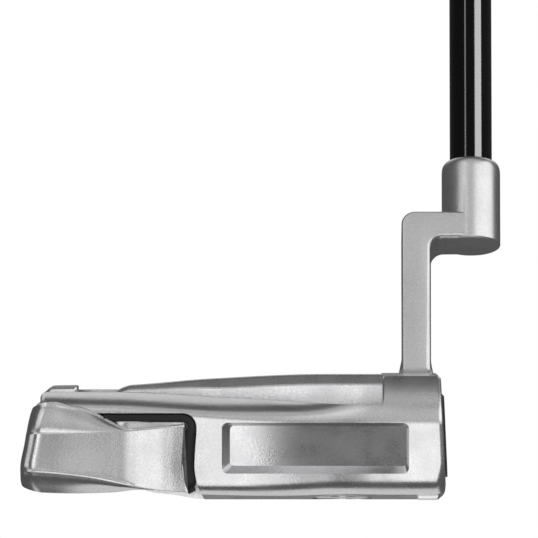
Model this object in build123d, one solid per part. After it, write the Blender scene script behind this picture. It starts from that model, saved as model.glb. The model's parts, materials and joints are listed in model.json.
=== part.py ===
"""Mallet putter with a plumber's neck: every separate piece as its own STEP node, in millimetres.

The origin is on the ground, on the flat of the sole under the middle of the head.
+X points to the target, out of the face, +Y to the heel and -Y to the toe, and +Z up.
"""
from build123d import *
from math import cos, radians, sin, tan
import os

# ---------------------------------------------------------------- driving dimensions
CLUB_LENGTH = 864.0        # along the shaft's axis, from the ground to the end of the grip
LIE_ANGLE = 70.5           # the shaft's angle to the ground, seen along the target line
LOFT_ANGLE = 2.5           # how far the face leans back

# head
HEAD_HALF_WIDTH = 50.0     # heel and toe ends of the front bar
FACE_X = 46.9              # the metal face, at the height of FACE_FOOT_Z
FACE_FOOT_Z = 5.0
BAR_BACK_X = 33.0          # back of the front bar
BODY_REAR_X = -43.0
DECK_Z = 27.6              # top of the front bar
SOLE_INSET = 19.0          # from the head's side to the edge of the sole's flat
SKIRT_INSET = 5.4          # and to the foot of its upright side
SKIRT_LIFT = 1.0           # how far the sole's sides rise off the ground
SOLE_FLAT_X = -6.5         # behind this the sole rises to the rear
SOLE_RISE_X = -21.0        # where it levels off again
SOLE_REAR_LIFT = 2.7
PAD_BACK_X = 40.4          # front sole pad, which reaches out to the ends of the bar
PAD_FRONT_X = 45.6

# spine, rear bar and the pockets beside them
SPINE_HALF_WIDTH = 9.5
SPINE_BEVEL = 2.4
SPINE_REAR_X = -27.0
SPINE_TAIL_RUN = 4.4       # length of the sloping tail
SPINE_TAIL_DROP = 1.8
SPINE_REAR_Z = 25.2        # top of the spine where its tail begins
SPINE_LEVEL_X = 20.0       # the spine's top is level from here forward
REAR_BAR_FRONT_X = -35.0
REAR_BAR_Z = 24.9
POCKET_WALL = 2.0          # metal between a pocket and a wing's seat
POCKET_FLOOR_Z = 12.0
POCKET_CORNER = 3.0

# chamfered window in each side
WINDOW_REAR_X, WINDOW_FRONT_X = -2.7, 38.8
WINDOW_LOW_Z, WINDOW_HIGH_Z = 5.9, 17.2
WINDOW_DEPTH = 7.8
WINDOW_CHAMFER = 1.5
WINDOW_CORNER = 1.3

# rear wing weights and the dampers between them and the body
SEAT_DEPTH = 22.5          # from the head's side to the seat's inner wall
SEAT_TOP_Z = 19.3
SEAT_FRONT_X = -8.2
SEAT_CORNER = 4.6
DAMPER_THICKNESS = 1.7
DAMPER_REAR_X = -42.5
DAMPER_STEP_X = -31.0      # behind this the wing's fin hides the damper's edge
DAMPER_INSET = 6.4         # from the head's side to the damper's top leg, ahead of the step
DAMPER_TUCK = 10.5         # and behind it
DAMPER_BACK_GAP = 0.2      # between the damper's back and the seat's front wall
WING_SIDE_GAP = 0.3        # between the wing and the seat's inner wall
WING_REAR_X = -47.4
WING_FLARE = 1.5           # how far the wings reach out past the front bar

# fasteners of the wings
WING_SCREW_XS = (-36.0, -17.0)
WING_SCREW_INSET = 5.5     # from the seat's inner wall
WING_SCREW_R = 1.5
WING_SCREW_HEAD_R = 2.8
WING_SCREW_HEAD_H = 3.0
WING_SCREW_HEAD_Z = 2.6    # underside of the head
WING_SCREW_TIP_Z = 22.4
GROMMET_H = 1.0
HEX_KEY = 2.5              # across flats

# sole plate and what it closes
PLATE_REAR_X, PLATE_FRONT_X = -5.5, 31.0
PLATE_MARGIN = 2.5         # between the plate and a wing's seat
PLATE_THICKNESS = 1.6
PLATE_CORNER = 4.0
CAVITY_INSET = 5.0         # ledge that the plate rests on
CAVITY_TOP_Z = 10.2
SPINE_HOLLOW_HALF_WIDTH = 5.5
SPINE_HOLLOW_REAR_X = -19.0
SPINE_HOLLOW_TOP_Z = 22.0
PLATE_SCREW_INSET = 2.7
PLATE_SCREW_R = 1.1
PLATE_SCREW_HEAD_R = 1.9
PLATE_SCREW_HEAD_H = 1.0
PLATE_SCREW_LENGTH = 6.0

# screw-in sole weights
PORT_X = 24.0
PORT_INSET = 15.5          # from the head's side to the port's middle
WEIGHT_FLANGE_R = 6.5
WEIGHT_FLANGE_H = 2.3
WEIGHT_RECESS = 0.3        # the flange lies this far inside the sole
WEIGHT_STEM_R = 4.0
WEIGHT_STEM_LENGTH = 6.4
WEIGHT_KEY = 4.0           # across flats of the key socket
WEIGHT_KEY_DEPTH = 2.6
WASHER_THICKNESS = 0.5

# face insert
INSERT_END_INSET = 10.0    # from the head's side to the end of the insert
INSERT_LOW, INSERT_HEIGHT = 0.0, 18.0     # up the face from FACE_FOOT_Z
INSERT_CORNER = 5.0
INSERT_DEPTH = 1.6
INSERT_PROUD = 0.55
GROOVE_COUNT = 9
GROOVE_WIDTH, GROOVE_DEPTH = 0.7, 0.3
TAPE_THICKNESS = 0.15

# sight line
SIGHT_WIDTH, SIGHT_DEPTH = 1.6, 0.5
SIGHT_REAR_X, SIGHT_FRONT_X = -18.0, 43.5

# plumber's neck, measured along the shaft's axis from the top of the head
NECK_Y = 24.0              # where the neck's axis leaves the head
LEG_BACK_X, LEG_FRONT_X = 37.6, 44.2
LEG_DEPTH = 9.6
ARM_LOW, ARM_HIGH = 30.6, 36.5
SHAFT_X = 53.3
BARREL_WALL = 1.75
BARREL_TOP = 50.0
BARREL_ROUND = 2.6
LEG_ROUND = 1.1
ELBOW_ROUND = 3.0
SPIGOT_R = 2.6
SPIGOT_DEPTH = 13.0
NECK_SCREW_R = 1.5
NECK_SCREW_Z = 20.0
NECK_SCREW_INSET = 0.4

# shaft
TIP_R = 4.75
BUTT_R = 7.35
SHAFT_WALL = 0.6
STEP_COUNT = 9
FIRST_STEP = 260.0         # from the tip
STEP_SPACING = 30.0
BORE_FLOOR = 2.6           # metal left under the shaft's tip
BOND_THICKNESS = 0.1
TIP_PLUG_LENGTH = 8.0

# grip
GRIP_LENGTH = 267.0
GRIP_SKIN = 1.6
GRIP_TAPE = 0.15
CAP_THICKNESS = 3.2
CAP_PLUG_LENGTH = 9.0
VENT_R = 1.6
CAP_EDGE = 1.2

# clearances
FIT = 0.05                 # around what is pushed or screwed in
LOOSE = 0.2                # around what drops into a recess

os.makedirs("parts", exist_ok=True)

SOLE_HALF_WIDTH = HEAD_HALF_WIDTH - SOLE_INSET
WINDOW_FLOOR_Y = HEAD_HALF_WIDTH - WINDOW_DEPTH
SEAT_INNER_Y = HEAD_HALF_WIDTH - SEAT_DEPTH
DAMPER_OUTER_Y = HEAD_HALF_WIDTH - DAMPER_INSET
DAMPER_TUCK_Y = HEAD_HALF_WIDTH - DAMPER_TUCK
WING_FLARE_Y = HEAD_HALF_WIDTH + WING_FLARE
WING_SCREW_Y = SEAT_INNER_Y + WING_SCREW_INSET
POCKET_HALF_WIDTH = SEAT_INNER_Y - POCKET_WALL
PLATE_HALF_WIDTH = SEAT_INNER_Y - PLATE_MARGIN
PORT_Y = HEAD_HALF_WIDTH - PORT_INSET
INSERT_HALF_LENGTH = HEAD_HALF_WIDTH - INSERT_END_INSET
BARREL_R = TIP_R + BOND_THICKNESS + BARREL_WALL
TILT = 90.0 - LIE_ANGLE
NECK_ORIGIN = Vector(0, NECK_Y, DECK_Z)
AXIS = Vector(0, sin(radians(TILT)), cos(radians(TILT)))
NECK_FRAME = Location(Plane(origin=NECK_ORIGIN, x_dir=(1, 0, 0), z_dir=AXIS))
SHAFT_FRAME = NECK_FRAME * Location((SHAFT_X, 0, 0))
BUTT_END = CLUB_LENGTH - DECK_Z / cos(radians(TILT))
FACE_NORMAL = (cos(radians(LOFT_ANGLE)), 0, sin(radians(LOFT_ANGLE)))
FACE_PLANE = Plane(origin=(FACE_X, 0, FACE_FOOT_Z), x_dir=(0, 1, 0), z_dir=FACE_NORMAL)
SIDES = {"toe": -1, "heel": 1}


def block(x0, x1, y0, y1, z0, z1):
    """A box between two corners."""
    centre = ((x0 + x1) / 2, (y0 + y1) / 2, (z0 + z1) / 2)
    return Pos(*centre) * Box(abs(x1 - x0), abs(y1 - y0), abs(z1 - z0))


def rod(radius, low, high, x=0.0, y=0.0):
    """An upright cylinder between two heights."""
    return Pos(x, y, (low + high) / 2) * Cylinder(radius, high - low)


def hex_socket(across_flats, low, high, x=0.0, y=0.0):
    """An upright hexagonal hole for a key."""
    outline = RegularPolygon(across_flats / 2, 6, major_radius=False)
    return Pos(x, y, low) * extrude(outline, amount=high - low)


def upright_slab(points, half_width):
    """An outline in X and Z, carried across the head from one side to the other."""
    outline = make_face(Polyline(*[(x, 0, z) for x, z in points], close=True))
    return extrude(outline, amount=half_width, dir=(0, 1, 0), both=True)


def mirrored(piece):
    return mirror(piece, about=Plane.XZ)


def save(name, piece):
    """Write one node, as a single solid or a group of separate ones."""
    solids = piece.solids()
    whole = solids[0] if len(solids) == 1 else Compound(children=list(solids))
    whole.label = name
    export_step(whole, f"parts/{name}.step")
    return whole


# ---------------------------------------------------------------- head body

def head_section(x, side, low_z, high_z, shoulder, deck):
    """The head's outline across the target line: flat sole, skirt, side, hollow shoulder and deck.

    side is the half width. The side is upright from low_z to high_z. The hollow above it ends
    at shoulder and the flat top begins at deck: each is how far in from the head's side, and up.
    """
    shoulder = (HEAD_HALF_WIDTH - shoulder[0], shoulder[1])
    deck = (HEAD_HALF_WIDTH - deck[0], deck[1])
    skirt_y = min(side - 3.0, HEAD_HALF_WIDTH - SKIRT_INSET)
    edges = []
    for sign in (1, -1):
        def point(y, z):
            return Vector(x, sign * y, z)
        sole_edge = point(SOLE_HALF_WIDTH, 0)
        skirt = point(skirt_y, SKIRT_LIFT)
        side_low, side_high = point(side, low_z), point(side, high_z)
        shoulder_end, deck_end = point(*shoulder), point(*deck)
        run = side - shoulder[0]
        slope = (deck[1] - shoulder[1]) / (shoulder[0] - deck[0])
        low_pull = point(side - 0.3 * (side - skirt_y), SKIRT_LIFT + 0.35 * (low_z - SKIRT_LIFT))
        high_pull = point(side, low_z - 0.4 * (low_z - SKIRT_LIFT))
        rise_pull = point(side, high_z + 0.5 * (shoulder[1] - high_z))
        tuck_pull = point(shoulder[0] + 0.35 * run, shoulder[1] - 0.35 * run * slope)
        edges += [
            Edge.make_line(Vector(x, 0, 0), sole_edge),
            Edge.make_line(sole_edge, skirt),
            Edge.make_bezier(skirt, low_pull, high_pull, side_low),
            Edge.make_line(side_low, side_high),
            Edge.make_bezier(side_high, rise_pull, tuck_pull, shoulder_end),
            Edge.make_line(shoulder_end, deck_end),
            Edge.make_line(deck_end, Vector(x, 0, deck[1])),
        ]
    return Wire(edges)


def make_rails(low_z=None):
    """The loft of the body behind the bar; with low_z, only what is above it."""
    bar_side = HEAD_HALF_WIDTH
    rail_stations = [
        # x, side, low z, high z, shoulder, deck
        (BAR_BACK_X + 1.0, bar_side - 0.8, 6.0, 13.5, (8.6, 20.2), (12.4, 21.6)),
        (8.0, bar_side - 3.2, 6.0, 14.8, (10.0, 20.9), (13.8, 22.4)),
        (-9.0, bar_side - 3.6, 6.0, 15.2, (11.2, 21.4), (14.8, 23.1)),
        (-26.0, bar_side - 5.0, 6.0, 17.0, (12.2, 21.9), (15.6, 23.7)),
        (BODY_REAR_X, bar_side - 6.4, 6.0, 17.4, (13.4, 22.2), (16.6, 24.0)),
    ]
    rails = Part() + Solid.make_loft([head_section(*station) for station in rail_stations])
    if low_z is None:
        return rails
    return rails & block(BODY_REAR_X - 5, BAR_BACK_X + 5, -60, 60, low_z, DECK_Z + 5)


def make_outer_body():
    """The body behind the bar, the bar, the spine, the rear bar and the sole pad."""
    bar_station = (HEAD_HALF_WIDTH, 6.0, 13.5, (4.8, 22.6), (8.4, DECK_Z))
    front_x = FACE_X + 2.0
    rails = make_rails()
    bar = Solid.make_loft([head_section(x, *bar_station) for x in (BAR_BACK_X, front_x)])
    spine = upright_slab([
        (SPINE_REAR_X, POCKET_FLOOR_Z), (SPINE_REAR_X, SPINE_REAR_Z - SPINE_TAIL_DROP),
        (SPINE_REAR_X + SPINE_TAIL_RUN, SPINE_REAR_Z), (SPINE_LEVEL_X, DECK_Z),
        (BAR_BACK_X + 1.0, DECK_Z), (BAR_BACK_X + 1.0, POCKET_FLOOR_Z)], SPINE_HALF_WIDTH)
    top_edges = [edge for edge in spine.edges()
                 if abs(abs(edge.center().Y) - SPINE_HALF_WIDTH) < 0.01
                 and edge.center().Z > SPINE_REAR_Z - 0.1 and edge.length > 2.0
                 and abs(edge.center().X - BAR_BACK_X - 1.0) > 0.5]
    spine = chamfer(top_edges, SPINE_BEVEL)
    rear_bar = block(BODY_REAR_X, REAR_BAR_FRONT_X, -POCKET_HALF_WIDTH, POCKET_HALF_WIDTH,
                     POCKET_FLOOR_Z, REAR_BAR_Z)
    rear_bar = chamfer(rear_bar.edges().filter_by(Axis.Y).group_by(Axis.Z)[-1], 0.8)
    pad_half = HEAD_HALF_WIDTH - SKIRT_INSET - 0.6
    pad = block(PAD_BACK_X, PAD_FRONT_X, -pad_half, pad_half, 0.0, 3.0)
    pad = chamfer(pad.edges().filter_by(Axis.Y).group_by(Axis.Z)[0], 0.4)
    rise = upright_slab([
        (SOLE_FLAT_X, 0.0), (SOLE_RISE_X, SOLE_REAR_LIFT), (BODY_REAR_X - 1.0, SOLE_REAR_LIFT + 0.2),
        (BODY_REAR_X - 1.0, -1.0), (SOLE_FLAT_X, -1.0)], HEAD_HALF_WIDTH)
    face_cut = extrude(FACE_PLANE * Rectangle(3 * HEAD_HALF_WIDTH, 120), amount=20)
    body = Part() + rails + bar - pocket_shape() + spine + rear_bar + pad
    return body - rise - face_cut - face_foot_cut()


def face_foot_cut():
    """What the round at the bottom of the face takes off, from end to end."""
    radius = 2.6
    foot_x = FACE_X - radius
    reach = HEAD_HALF_WIDTH + 10.0
    corner = block(foot_x, FACE_X + 3.0, -reach, reach, -1.0, radius)
    drum = Pos(foot_x, 0, radius) * Rot(90, 0, 0) * Cylinder(radius, 2 * reach + 2.0)
    return corner - drum


def pocket_shape():
    """The open hollow from the front bar to the rear bar, which the spine then divides."""
    outline = Rectangle(BAR_BACK_X - REAR_BAR_FRONT_X, 2 * POCKET_HALF_WIDTH)
    hollow = extrude(outline, amount=DECK_Z + 5.0 - POCKET_FLOOR_Z)
    hollow = fillet(hollow.edges().filter_by(Axis.Z), POCKET_CORNER)
    return Pos((BAR_BACK_X + REAR_BAR_FRONT_X) / 2, 0, POCKET_FLOOR_Z) * hollow


def window_cut(sign):
    """A rounded rectangle that narrows inwards to the floor of the window."""
    def outline(grow, y):
        plane = Plane(origin=((WINDOW_REAR_X + WINDOW_FRONT_X) / 2, sign * y,
                              (WINDOW_LOW_Z + WINDOW_HIGH_Z) / 2), x_dir=(1, 0, 0), z_dir=(0, 1, 0))
        length = WINDOW_FRONT_X - WINDOW_REAR_X + 2 * grow
        height = WINDOW_HIGH_Z - WINDOW_LOW_Z + 2 * grow
        return plane * RectangleRounded(length, height, WINDOW_CORNER)
    outer_y = HEAD_HALF_WIDTH + 2.0
    spread = (outer_y - HEAD_HALF_WIDTH + 3.0) * WINDOW_CHAMFER / (HEAD_HALF_WIDTH - WINDOW_FLOOR_Y)
    faces = [outline(-WINDOW_CHAMFER, WINDOW_FLOOR_Y), outline(spread, outer_y)]
    return loft(faces, ruled=True)


def seat_outline(x_front, z_top, corner, x_rear, z_low):
    """An L-shaped seat's outline in X and Z: open to the rear and below, round at its corner."""
    start = (x_rear, 0, z_top)
    bend_in = (x_front - corner, 0, z_top)
    bend_out = (x_front, 0, z_top - corner)
    middle = (x_front - corner * (1 - cos(radians(45))), 0, z_top - corner * (1 - cos(radians(45))))
    return make_face([
        Line(start, bend_in),
        ThreePointArc(bend_in, middle, bend_out),
        Line(bend_out, (x_front, 0, z_low)),
        Line((x_front, 0, z_low), (x_rear, 0, z_low)),
        Line((x_rear, 0, z_low), start)])


def seat_solid(inset, y_inner, y_outer, sign, x_rear=BODY_REAR_X - 8.0, z_low=-2.0):
    """The space of a wing's seat, drawn in by inset from its walls."""
    face = seat_outline(SEAT_FRONT_X - inset, SEAT_TOP_Z - inset, SEAT_CORNER - inset, x_rear, z_low)
    span = extrude(face, amount=y_outer - y_inner, dir=(0, sign, 0))
    return Pos(0, sign * y_inner, 0) * span


def weight_port(sign):
    low_flange = rod(WEIGHT_FLANGE_R + LOOSE, -1.0, port_shoulder_z(), PORT_X, sign * PORT_Y)
    stem_top = port_shoulder_z() + WEIGHT_STEM_LENGTH
    return low_flange + rod(WEIGHT_STEM_R + FIT, 0, stem_top, PORT_X, sign * PORT_Y)


def port_shoulder_z():
    return WEIGHT_RECESS + WEIGHT_FLANGE_H + WASHER_THICKNESS


def plate_screw_places():
    for x in (PLATE_REAR_X + PLATE_SCREW_INSET, PLATE_FRONT_X - PLATE_SCREW_INSET):
        for y in (-1, 1):
            yield x, y * (PLATE_HALF_WIDTH - PLATE_SCREW_INSET)


def rounded_slab(grow, corner, low, high):
    """A rounded rectangle around the sole plate's outline, between two heights."""
    outline = RectangleRounded(PLATE_FRONT_X - PLATE_REAR_X + 2 * grow,
                               2 * (PLATE_HALF_WIDTH + grow), corner)
    return Pos((PLATE_FRONT_X + PLATE_REAR_X) / 2, 0, low) * extrude(outline, amount=high - low)


def spigot(radius, depth):
    """The round peg under the neck's leg, along the shaft's tilt."""
    x = (LEG_BACK_X + LEG_FRONT_X) / 2
    return NECK_FRAME * rod(radius, -depth, 2.0, x, 0)


def neck_screw_rod(radius, x_start, x_end):
    y = NECK_Y - (DECK_Z - NECK_SCREW_Z) * tan(radians(TILT))
    middle = (x_start + x_end) / 2
    return Pos(middle, y, NECK_SCREW_Z) * Rot(0, 90, 0) * Cylinder(radius, x_end - x_start)


def sight_slab(depth, half_width):
    """A thin slab that follows the spine's top, for the sight line and its groove."""
    def top(x):
        rear = SPINE_REAR_X + SPINE_TAIL_RUN
        share = min(1.0, (x - rear) / (SPINE_LEVEL_X - rear))
        return SPINE_REAR_Z + share * (DECK_Z - SPINE_REAR_Z)
    xs = (SIGHT_REAR_X, SPINE_LEVEL_X, SIGHT_FRONT_X)
    upper = [(x, top(x)) for x in xs]
    lower = [(x, top(x) - depth) for x in reversed(xs)]
    return upright_slab(upper + lower, half_width)


def insert_outline(grow):
    outline = RectangleRounded(2 * (INSERT_HALF_LENGTH + grow), INSERT_HEIGHT + 2 * grow,
                               INSERT_CORNER + grow)
    return Pos(0, INSERT_LOW + INSERT_HEIGHT / 2, 0) * outline


def make_head_body():
    body = make_outer_body()
    for sign in SIDES.values():
        body -= window_cut(sign)
        body -= seat_solid(0.0, SEAT_INNER_Y, HEAD_HALF_WIDTH + 10.0, sign)
        body -= weight_port(sign)
        for x in WING_SCREW_XS:
            body -= rod(WING_SCREW_R + FIT, SEAT_TOP_Z - 1.0, WING_SCREW_TIP_Z + 0.2,
                        x, sign * WING_SCREW_Y)
    body -= rounded_slab(LOOSE / 2, PLATE_CORNER + LOOSE / 2, -1.0, PLATE_THICKNESS)
    body -= rounded_slab(-CAVITY_INSET, PLATE_CORNER, 0.0, CAVITY_TOP_Z)
    body -= spine_hollow(0.0)
    for x, y in plate_screw_places():
        body -= rod(PLATE_SCREW_R + FIT, 0.0, PLATE_SCREW_LENGTH + 0.3, x, y)
    pocket_depth = INSERT_DEPTH + TAPE_THICKNESS
    body -= extrude(FACE_PLANE * insert_outline(FIT), amount=-pocket_depth)
    body -= spigot(SPIGOT_R + FIT, SPIGOT_DEPTH + 0.2)
    body -= neck_screw_rod(NECK_SCREW_R + FIT, BAR_BACK_X - 2.0, LEG_BACK_X + 1.0)
    body -= sight_slab(SIGHT_DEPTH, SIGHT_WIDTH / 2)
    return body


def make_sight_line():
    return sight_slab(SIGHT_DEPTH, SIGHT_WIDTH / 2)


# ---------------------------------------------------------------- face insert

def make_face_insert():
    slab = extrude(FACE_PLANE * insert_outline(0.0), amount=-INSERT_DEPTH)
    slab += extrude(FACE_PLANE * insert_outline(0.0), amount=INSERT_PROUD)
    front = FACE_PLANE.offset(INSERT_PROUD)
    spacing = INSERT_HEIGHT / (GROOVE_COUNT + 1)
    grooves = Sketch() + [
        Pos(0, INSERT_LOW + spacing * (row + 1), 0)
        * SlotOverall(2 * (INSERT_HALF_LENGTH - INSERT_CORNER), GROOVE_WIDTH)
        for row in range(GROOVE_COUNT)]
    return slab - extrude(front * grooves, amount=-GROOVE_DEPTH)


def make_insert_tape():
    back = FACE_PLANE.offset(-INSERT_DEPTH)
    return extrude(back * insert_outline(-0.5), amount=-TAPE_THICKNESS)


# ---------------------------------------------------------------- wings and dampers

def wing_section(x, inner, low_z, outer_low, ridge, crease, top_out, top_z):
    """One cross-section of a wing: foot, lower bevel, ridge, main face, crease and top edge."""
    points = [(inner, low_z), (outer_low, low_z), ridge, crease, top_out, (inner, top_z)]
    return Wire.make_polygon([Vector(x, y, z) for y, z in points], close=True)


def make_wing(sign):
    inner = SEAT_INNER_Y + WING_SIDE_GAP
    flare = WING_FLARE_Y
    front_x = SEAT_FRONT_X - DAMPER_BACK_GAP - DAMPER_THICKNESS
    low = SEAT_TOP_Z - DAMPER_THICKNESS
    sections = [
        # x, inner, low z, foot, ridge, crease, top edge, inner top z
        (front_x, inner, 1.6, flare - 7.9, (flare - 5.3, 2.2), (flare - 5.3, 16.0),
         (flare - 6.9, low), low),
        (-17.0, inner, 1.7, flare - 7.9, (flare - 5.1, 2.4), (flare - 5.0, 15.6),
         (flare - 8.1, low), low),
        (-24.0, inner, 1.7, flare - 7.5, (flare - 3.7, 3.4), (flare - 3.5, 15.4),
         (flare - 5.9, 17.4), low),
        (-34.0, inner, 1.6, flare - 5.9, (flare - 1.3, 5.0), (flare - 1.3, 15.1),
         (flare - 7.5, 20.2), low),
        (WING_REAR_X + 4.6, inner, 1.7, flare - 4.7, (flare, 6.2), (flare, 15.1),
         (flare - 9.1, 21.8), low),
    ]
    wires = [wing_section(*section) for section in sections]
    wing = Part() + Solid.make_loft(wires, ruled=True)
    rear = upright_slab([(WING_REAR_X + 4.6 - 0.1, 22.0), (WING_REAR_X + 3.6, 21.6),
                         (WING_REAR_X, 7.0), (WING_REAR_X + 0.2, 3.2), (WING_REAR_X + 1.6, 1.7),
                         (WING_REAR_X + 4.6 - 0.1, 1.7)], flare + 10.0)
    tail_wires = [wing_section(*sections[-1]),
                  wing_section(WING_REAR_X - 0.4, inner, 1.7, flare - 5.9, (flare - 1.4, 6.6),
                               (flare - 1.4, 14.6), (flare - 8.9, 21.8), low)]
    tail = Part() + Solid.make_loft(tail_wires, ruled=True)
    wing += tail & (rear + block(WING_REAR_X + 4.4, WING_REAR_X + 4.8, 0, flare + 10.0, 0, 23))
    step_x = DAMPER_STEP_X - LOOSE
    wing -= block(step_x, SEAT_FRONT_X, 0, DAMPER_OUTER_Y + WING_SIDE_GAP, low, 30)
    wing -= block(WING_REAR_X - 2, step_x, 0, DAMPER_TUCK_Y + WING_SIDE_GAP, low, 30)
    wing -= Pos(0, WING_SIDE_GAP, 0) * make_rails(SEAT_TOP_Z - WING_SIDE_GAP)
    wing -= damper_band(1) & block(SEAT_FRONT_X - 2 * SEAT_CORNER, SEAT_FRONT_X, 0, 90, 0, 30)
    for x in WING_SCREW_XS:
        wing -= rod(WING_SCREW_R + LOOSE, 0.0, SEAT_TOP_Z, x, WING_SCREW_Y)
        wing -= rod(WING_SCREW_HEAD_R + LOOSE, 0.0, grommet_top_z(), x, WING_SCREW_Y)
    return wing if sign > 0 else mirrored(wing)


def grommet_top_z():
    return WING_SCREW_HEAD_Z + WING_SCREW_HEAD_H + GROMMET_H


def damper_band(sign):
    """The L-shaped band between the seat and the wing, out past the head's side."""
    reach = HEAD_HALF_WIDTH + 10.0
    outer = seat_solid(0.0, SEAT_INNER_Y, reach, sign, x_rear=DAMPER_REAR_X, z_low=1.8)
    gap = block(SEAT_FRONT_X - DAMPER_BACK_GAP, SEAT_FRONT_X + 1.0, 0, sign * (reach + 1.0),
                -3.0, SEAT_TOP_Z)
    inner = seat_solid(DAMPER_THICKNESS, SEAT_INNER_Y - 1.0, reach + 1.0, sign,
                       x_rear=DAMPER_REAR_X - 5.0)
    return outer - gap - Pos(-DAMPER_BACK_GAP, 0, 0) * inner


def make_damper(sign):
    """The L-shaped strip that follows the seat's top and front wall."""
    damper = damper_band(sign) & damper_trim(sign)
    for x in WING_SCREW_XS:
        damper -= rod(WING_SCREW_R + LOOSE, 0.0, SEAT_TOP_Z + 1.0, x, sign * WING_SCREW_Y)
    return damper


def damper_trim(sign):
    """How far out the dampers reach, so that the strips end just inside the body's sides."""
    low = SEAT_TOP_Z - DAMPER_THICKNESS
    shape = block(DAMPER_STEP_X, 10, 0, DAMPER_OUTER_Y + 2.0, -1, low)
    shape += block(DAMPER_STEP_X, 10, 0, DAMPER_OUTER_Y, low, SEAT_TOP_Z + 1.0)
    shape += block(DAMPER_REAR_X - 1.0, DAMPER_STEP_X, 0, DAMPER_TUCK_Y, low, SEAT_TOP_Z + 1.0)
    return shape if sign > 0 else mirrored(shape)


def wing_screw(x, y):
    head_top = WING_SCREW_HEAD_Z + WING_SCREW_HEAD_H
    screw = rod(WING_SCREW_HEAD_R, WING_SCREW_HEAD_Z, head_top, x, y)
    screw += rod(WING_SCREW_R, head_top, WING_SCREW_TIP_Z, x, y)
    return screw - hex_socket(HEX_KEY, WING_SCREW_HEAD_Z, WING_SCREW_HEAD_Z + 1.6, x, y)


def make_wing_screws(sign):
    return Part() + [wing_screw(x, sign * WING_SCREW_Y) for x in WING_SCREW_XS]


def make_grommets():
    low = WING_SCREW_HEAD_Z + WING_SCREW_HEAD_H
    rings = []
    for sign in SIDES.values():
        for x in WING_SCREW_XS:
            ring = rod(WING_SCREW_HEAD_R, low, grommet_top_z(), x, sign * WING_SCREW_Y)
            rings.append(ring - rod(WING_SCREW_R + FIT, low - 1, low + 2, x, sign * WING_SCREW_Y))
    return Part() + rings


# ---------------------------------------------------------------- sole

def make_sole_plate():
    plate = rounded_slab(-LOOSE / 2, PLATE_CORNER, 0.0, PLATE_THICKNESS)
    for x, y in plate_screw_places():
        plate -= rod(PLATE_SCREW_R + FIT, -1.0, PLATE_THICKNESS + 1.0, x, y)
        plate -= rod(PLATE_SCREW_HEAD_R + FIT, -1.0, PLATE_SCREW_HEAD_H + 0.2, x, y)
    return plate


def make_plate_screws():
    screws = []
    for x, y in plate_screw_places():
        low, shoulder = 0.2, 0.2 + PLATE_SCREW_HEAD_H
        screw = rod(PLATE_SCREW_HEAD_R, low, shoulder, x, y)
        screw += rod(PLATE_SCREW_R, shoulder, PLATE_SCREW_LENGTH, x, y)
        screws.append(screw - hex_socket(1.3, low, low + 0.7, x, y))
    return Part() + screws


def spine_hollow(gap):
    """The part of the cavity that reaches up into the spine, drawn in by gap."""
    return block(SPINE_HOLLOW_REAR_X + gap, PLATE_FRONT_X - CAVITY_INSET - gap,
                 gap - SPINE_HOLLOW_HALF_WIDTH, SPINE_HOLLOW_HALF_WIDTH - gap,
                 PLATE_THICKNESS, SPINE_HOLLOW_TOP_Z - gap)


def make_foam_core():
    inset = CAVITY_INSET + LOOSE
    base = rounded_slab(-inset, PLATE_CORNER, PLATE_THICKNESS, CAVITY_TOP_Z - LOOSE)
    return base + spine_hollow(LOOSE)


def make_sole_weight(sign):
    low, shoulder = WEIGHT_RECESS, WEIGHT_RECESS + WEIGHT_FLANGE_H
    top = shoulder + WASHER_THICKNESS + WEIGHT_STEM_LENGTH - 0.4
    x, y = PORT_X, sign * PORT_Y
    flange = rod(WEIGHT_FLANGE_R, low, shoulder, x, y)
    flange = chamfer(flange.edges().filter_by(GeomType.CIRCLE).group_by(Axis.Z)[0], 0.4)
    weight = flange + rod(WEIGHT_STEM_R, shoulder, top, x, y)
    return weight - hex_socket(WEIGHT_KEY, low, low + WEIGHT_KEY_DEPTH, x, y)


def make_weight_washer(sign):
    low = WEIGHT_RECESS + WEIGHT_FLANGE_H
    x, y = PORT_X, sign * PORT_Y
    ring = rod(WEIGHT_FLANGE_R - 0.3, low, low + WASHER_THICKNESS, x, y)
    return ring - rod(WEIGHT_STEM_R + FIT, low - 1, low + 2, x, y)


# ---------------------------------------------------------------- neck

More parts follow.
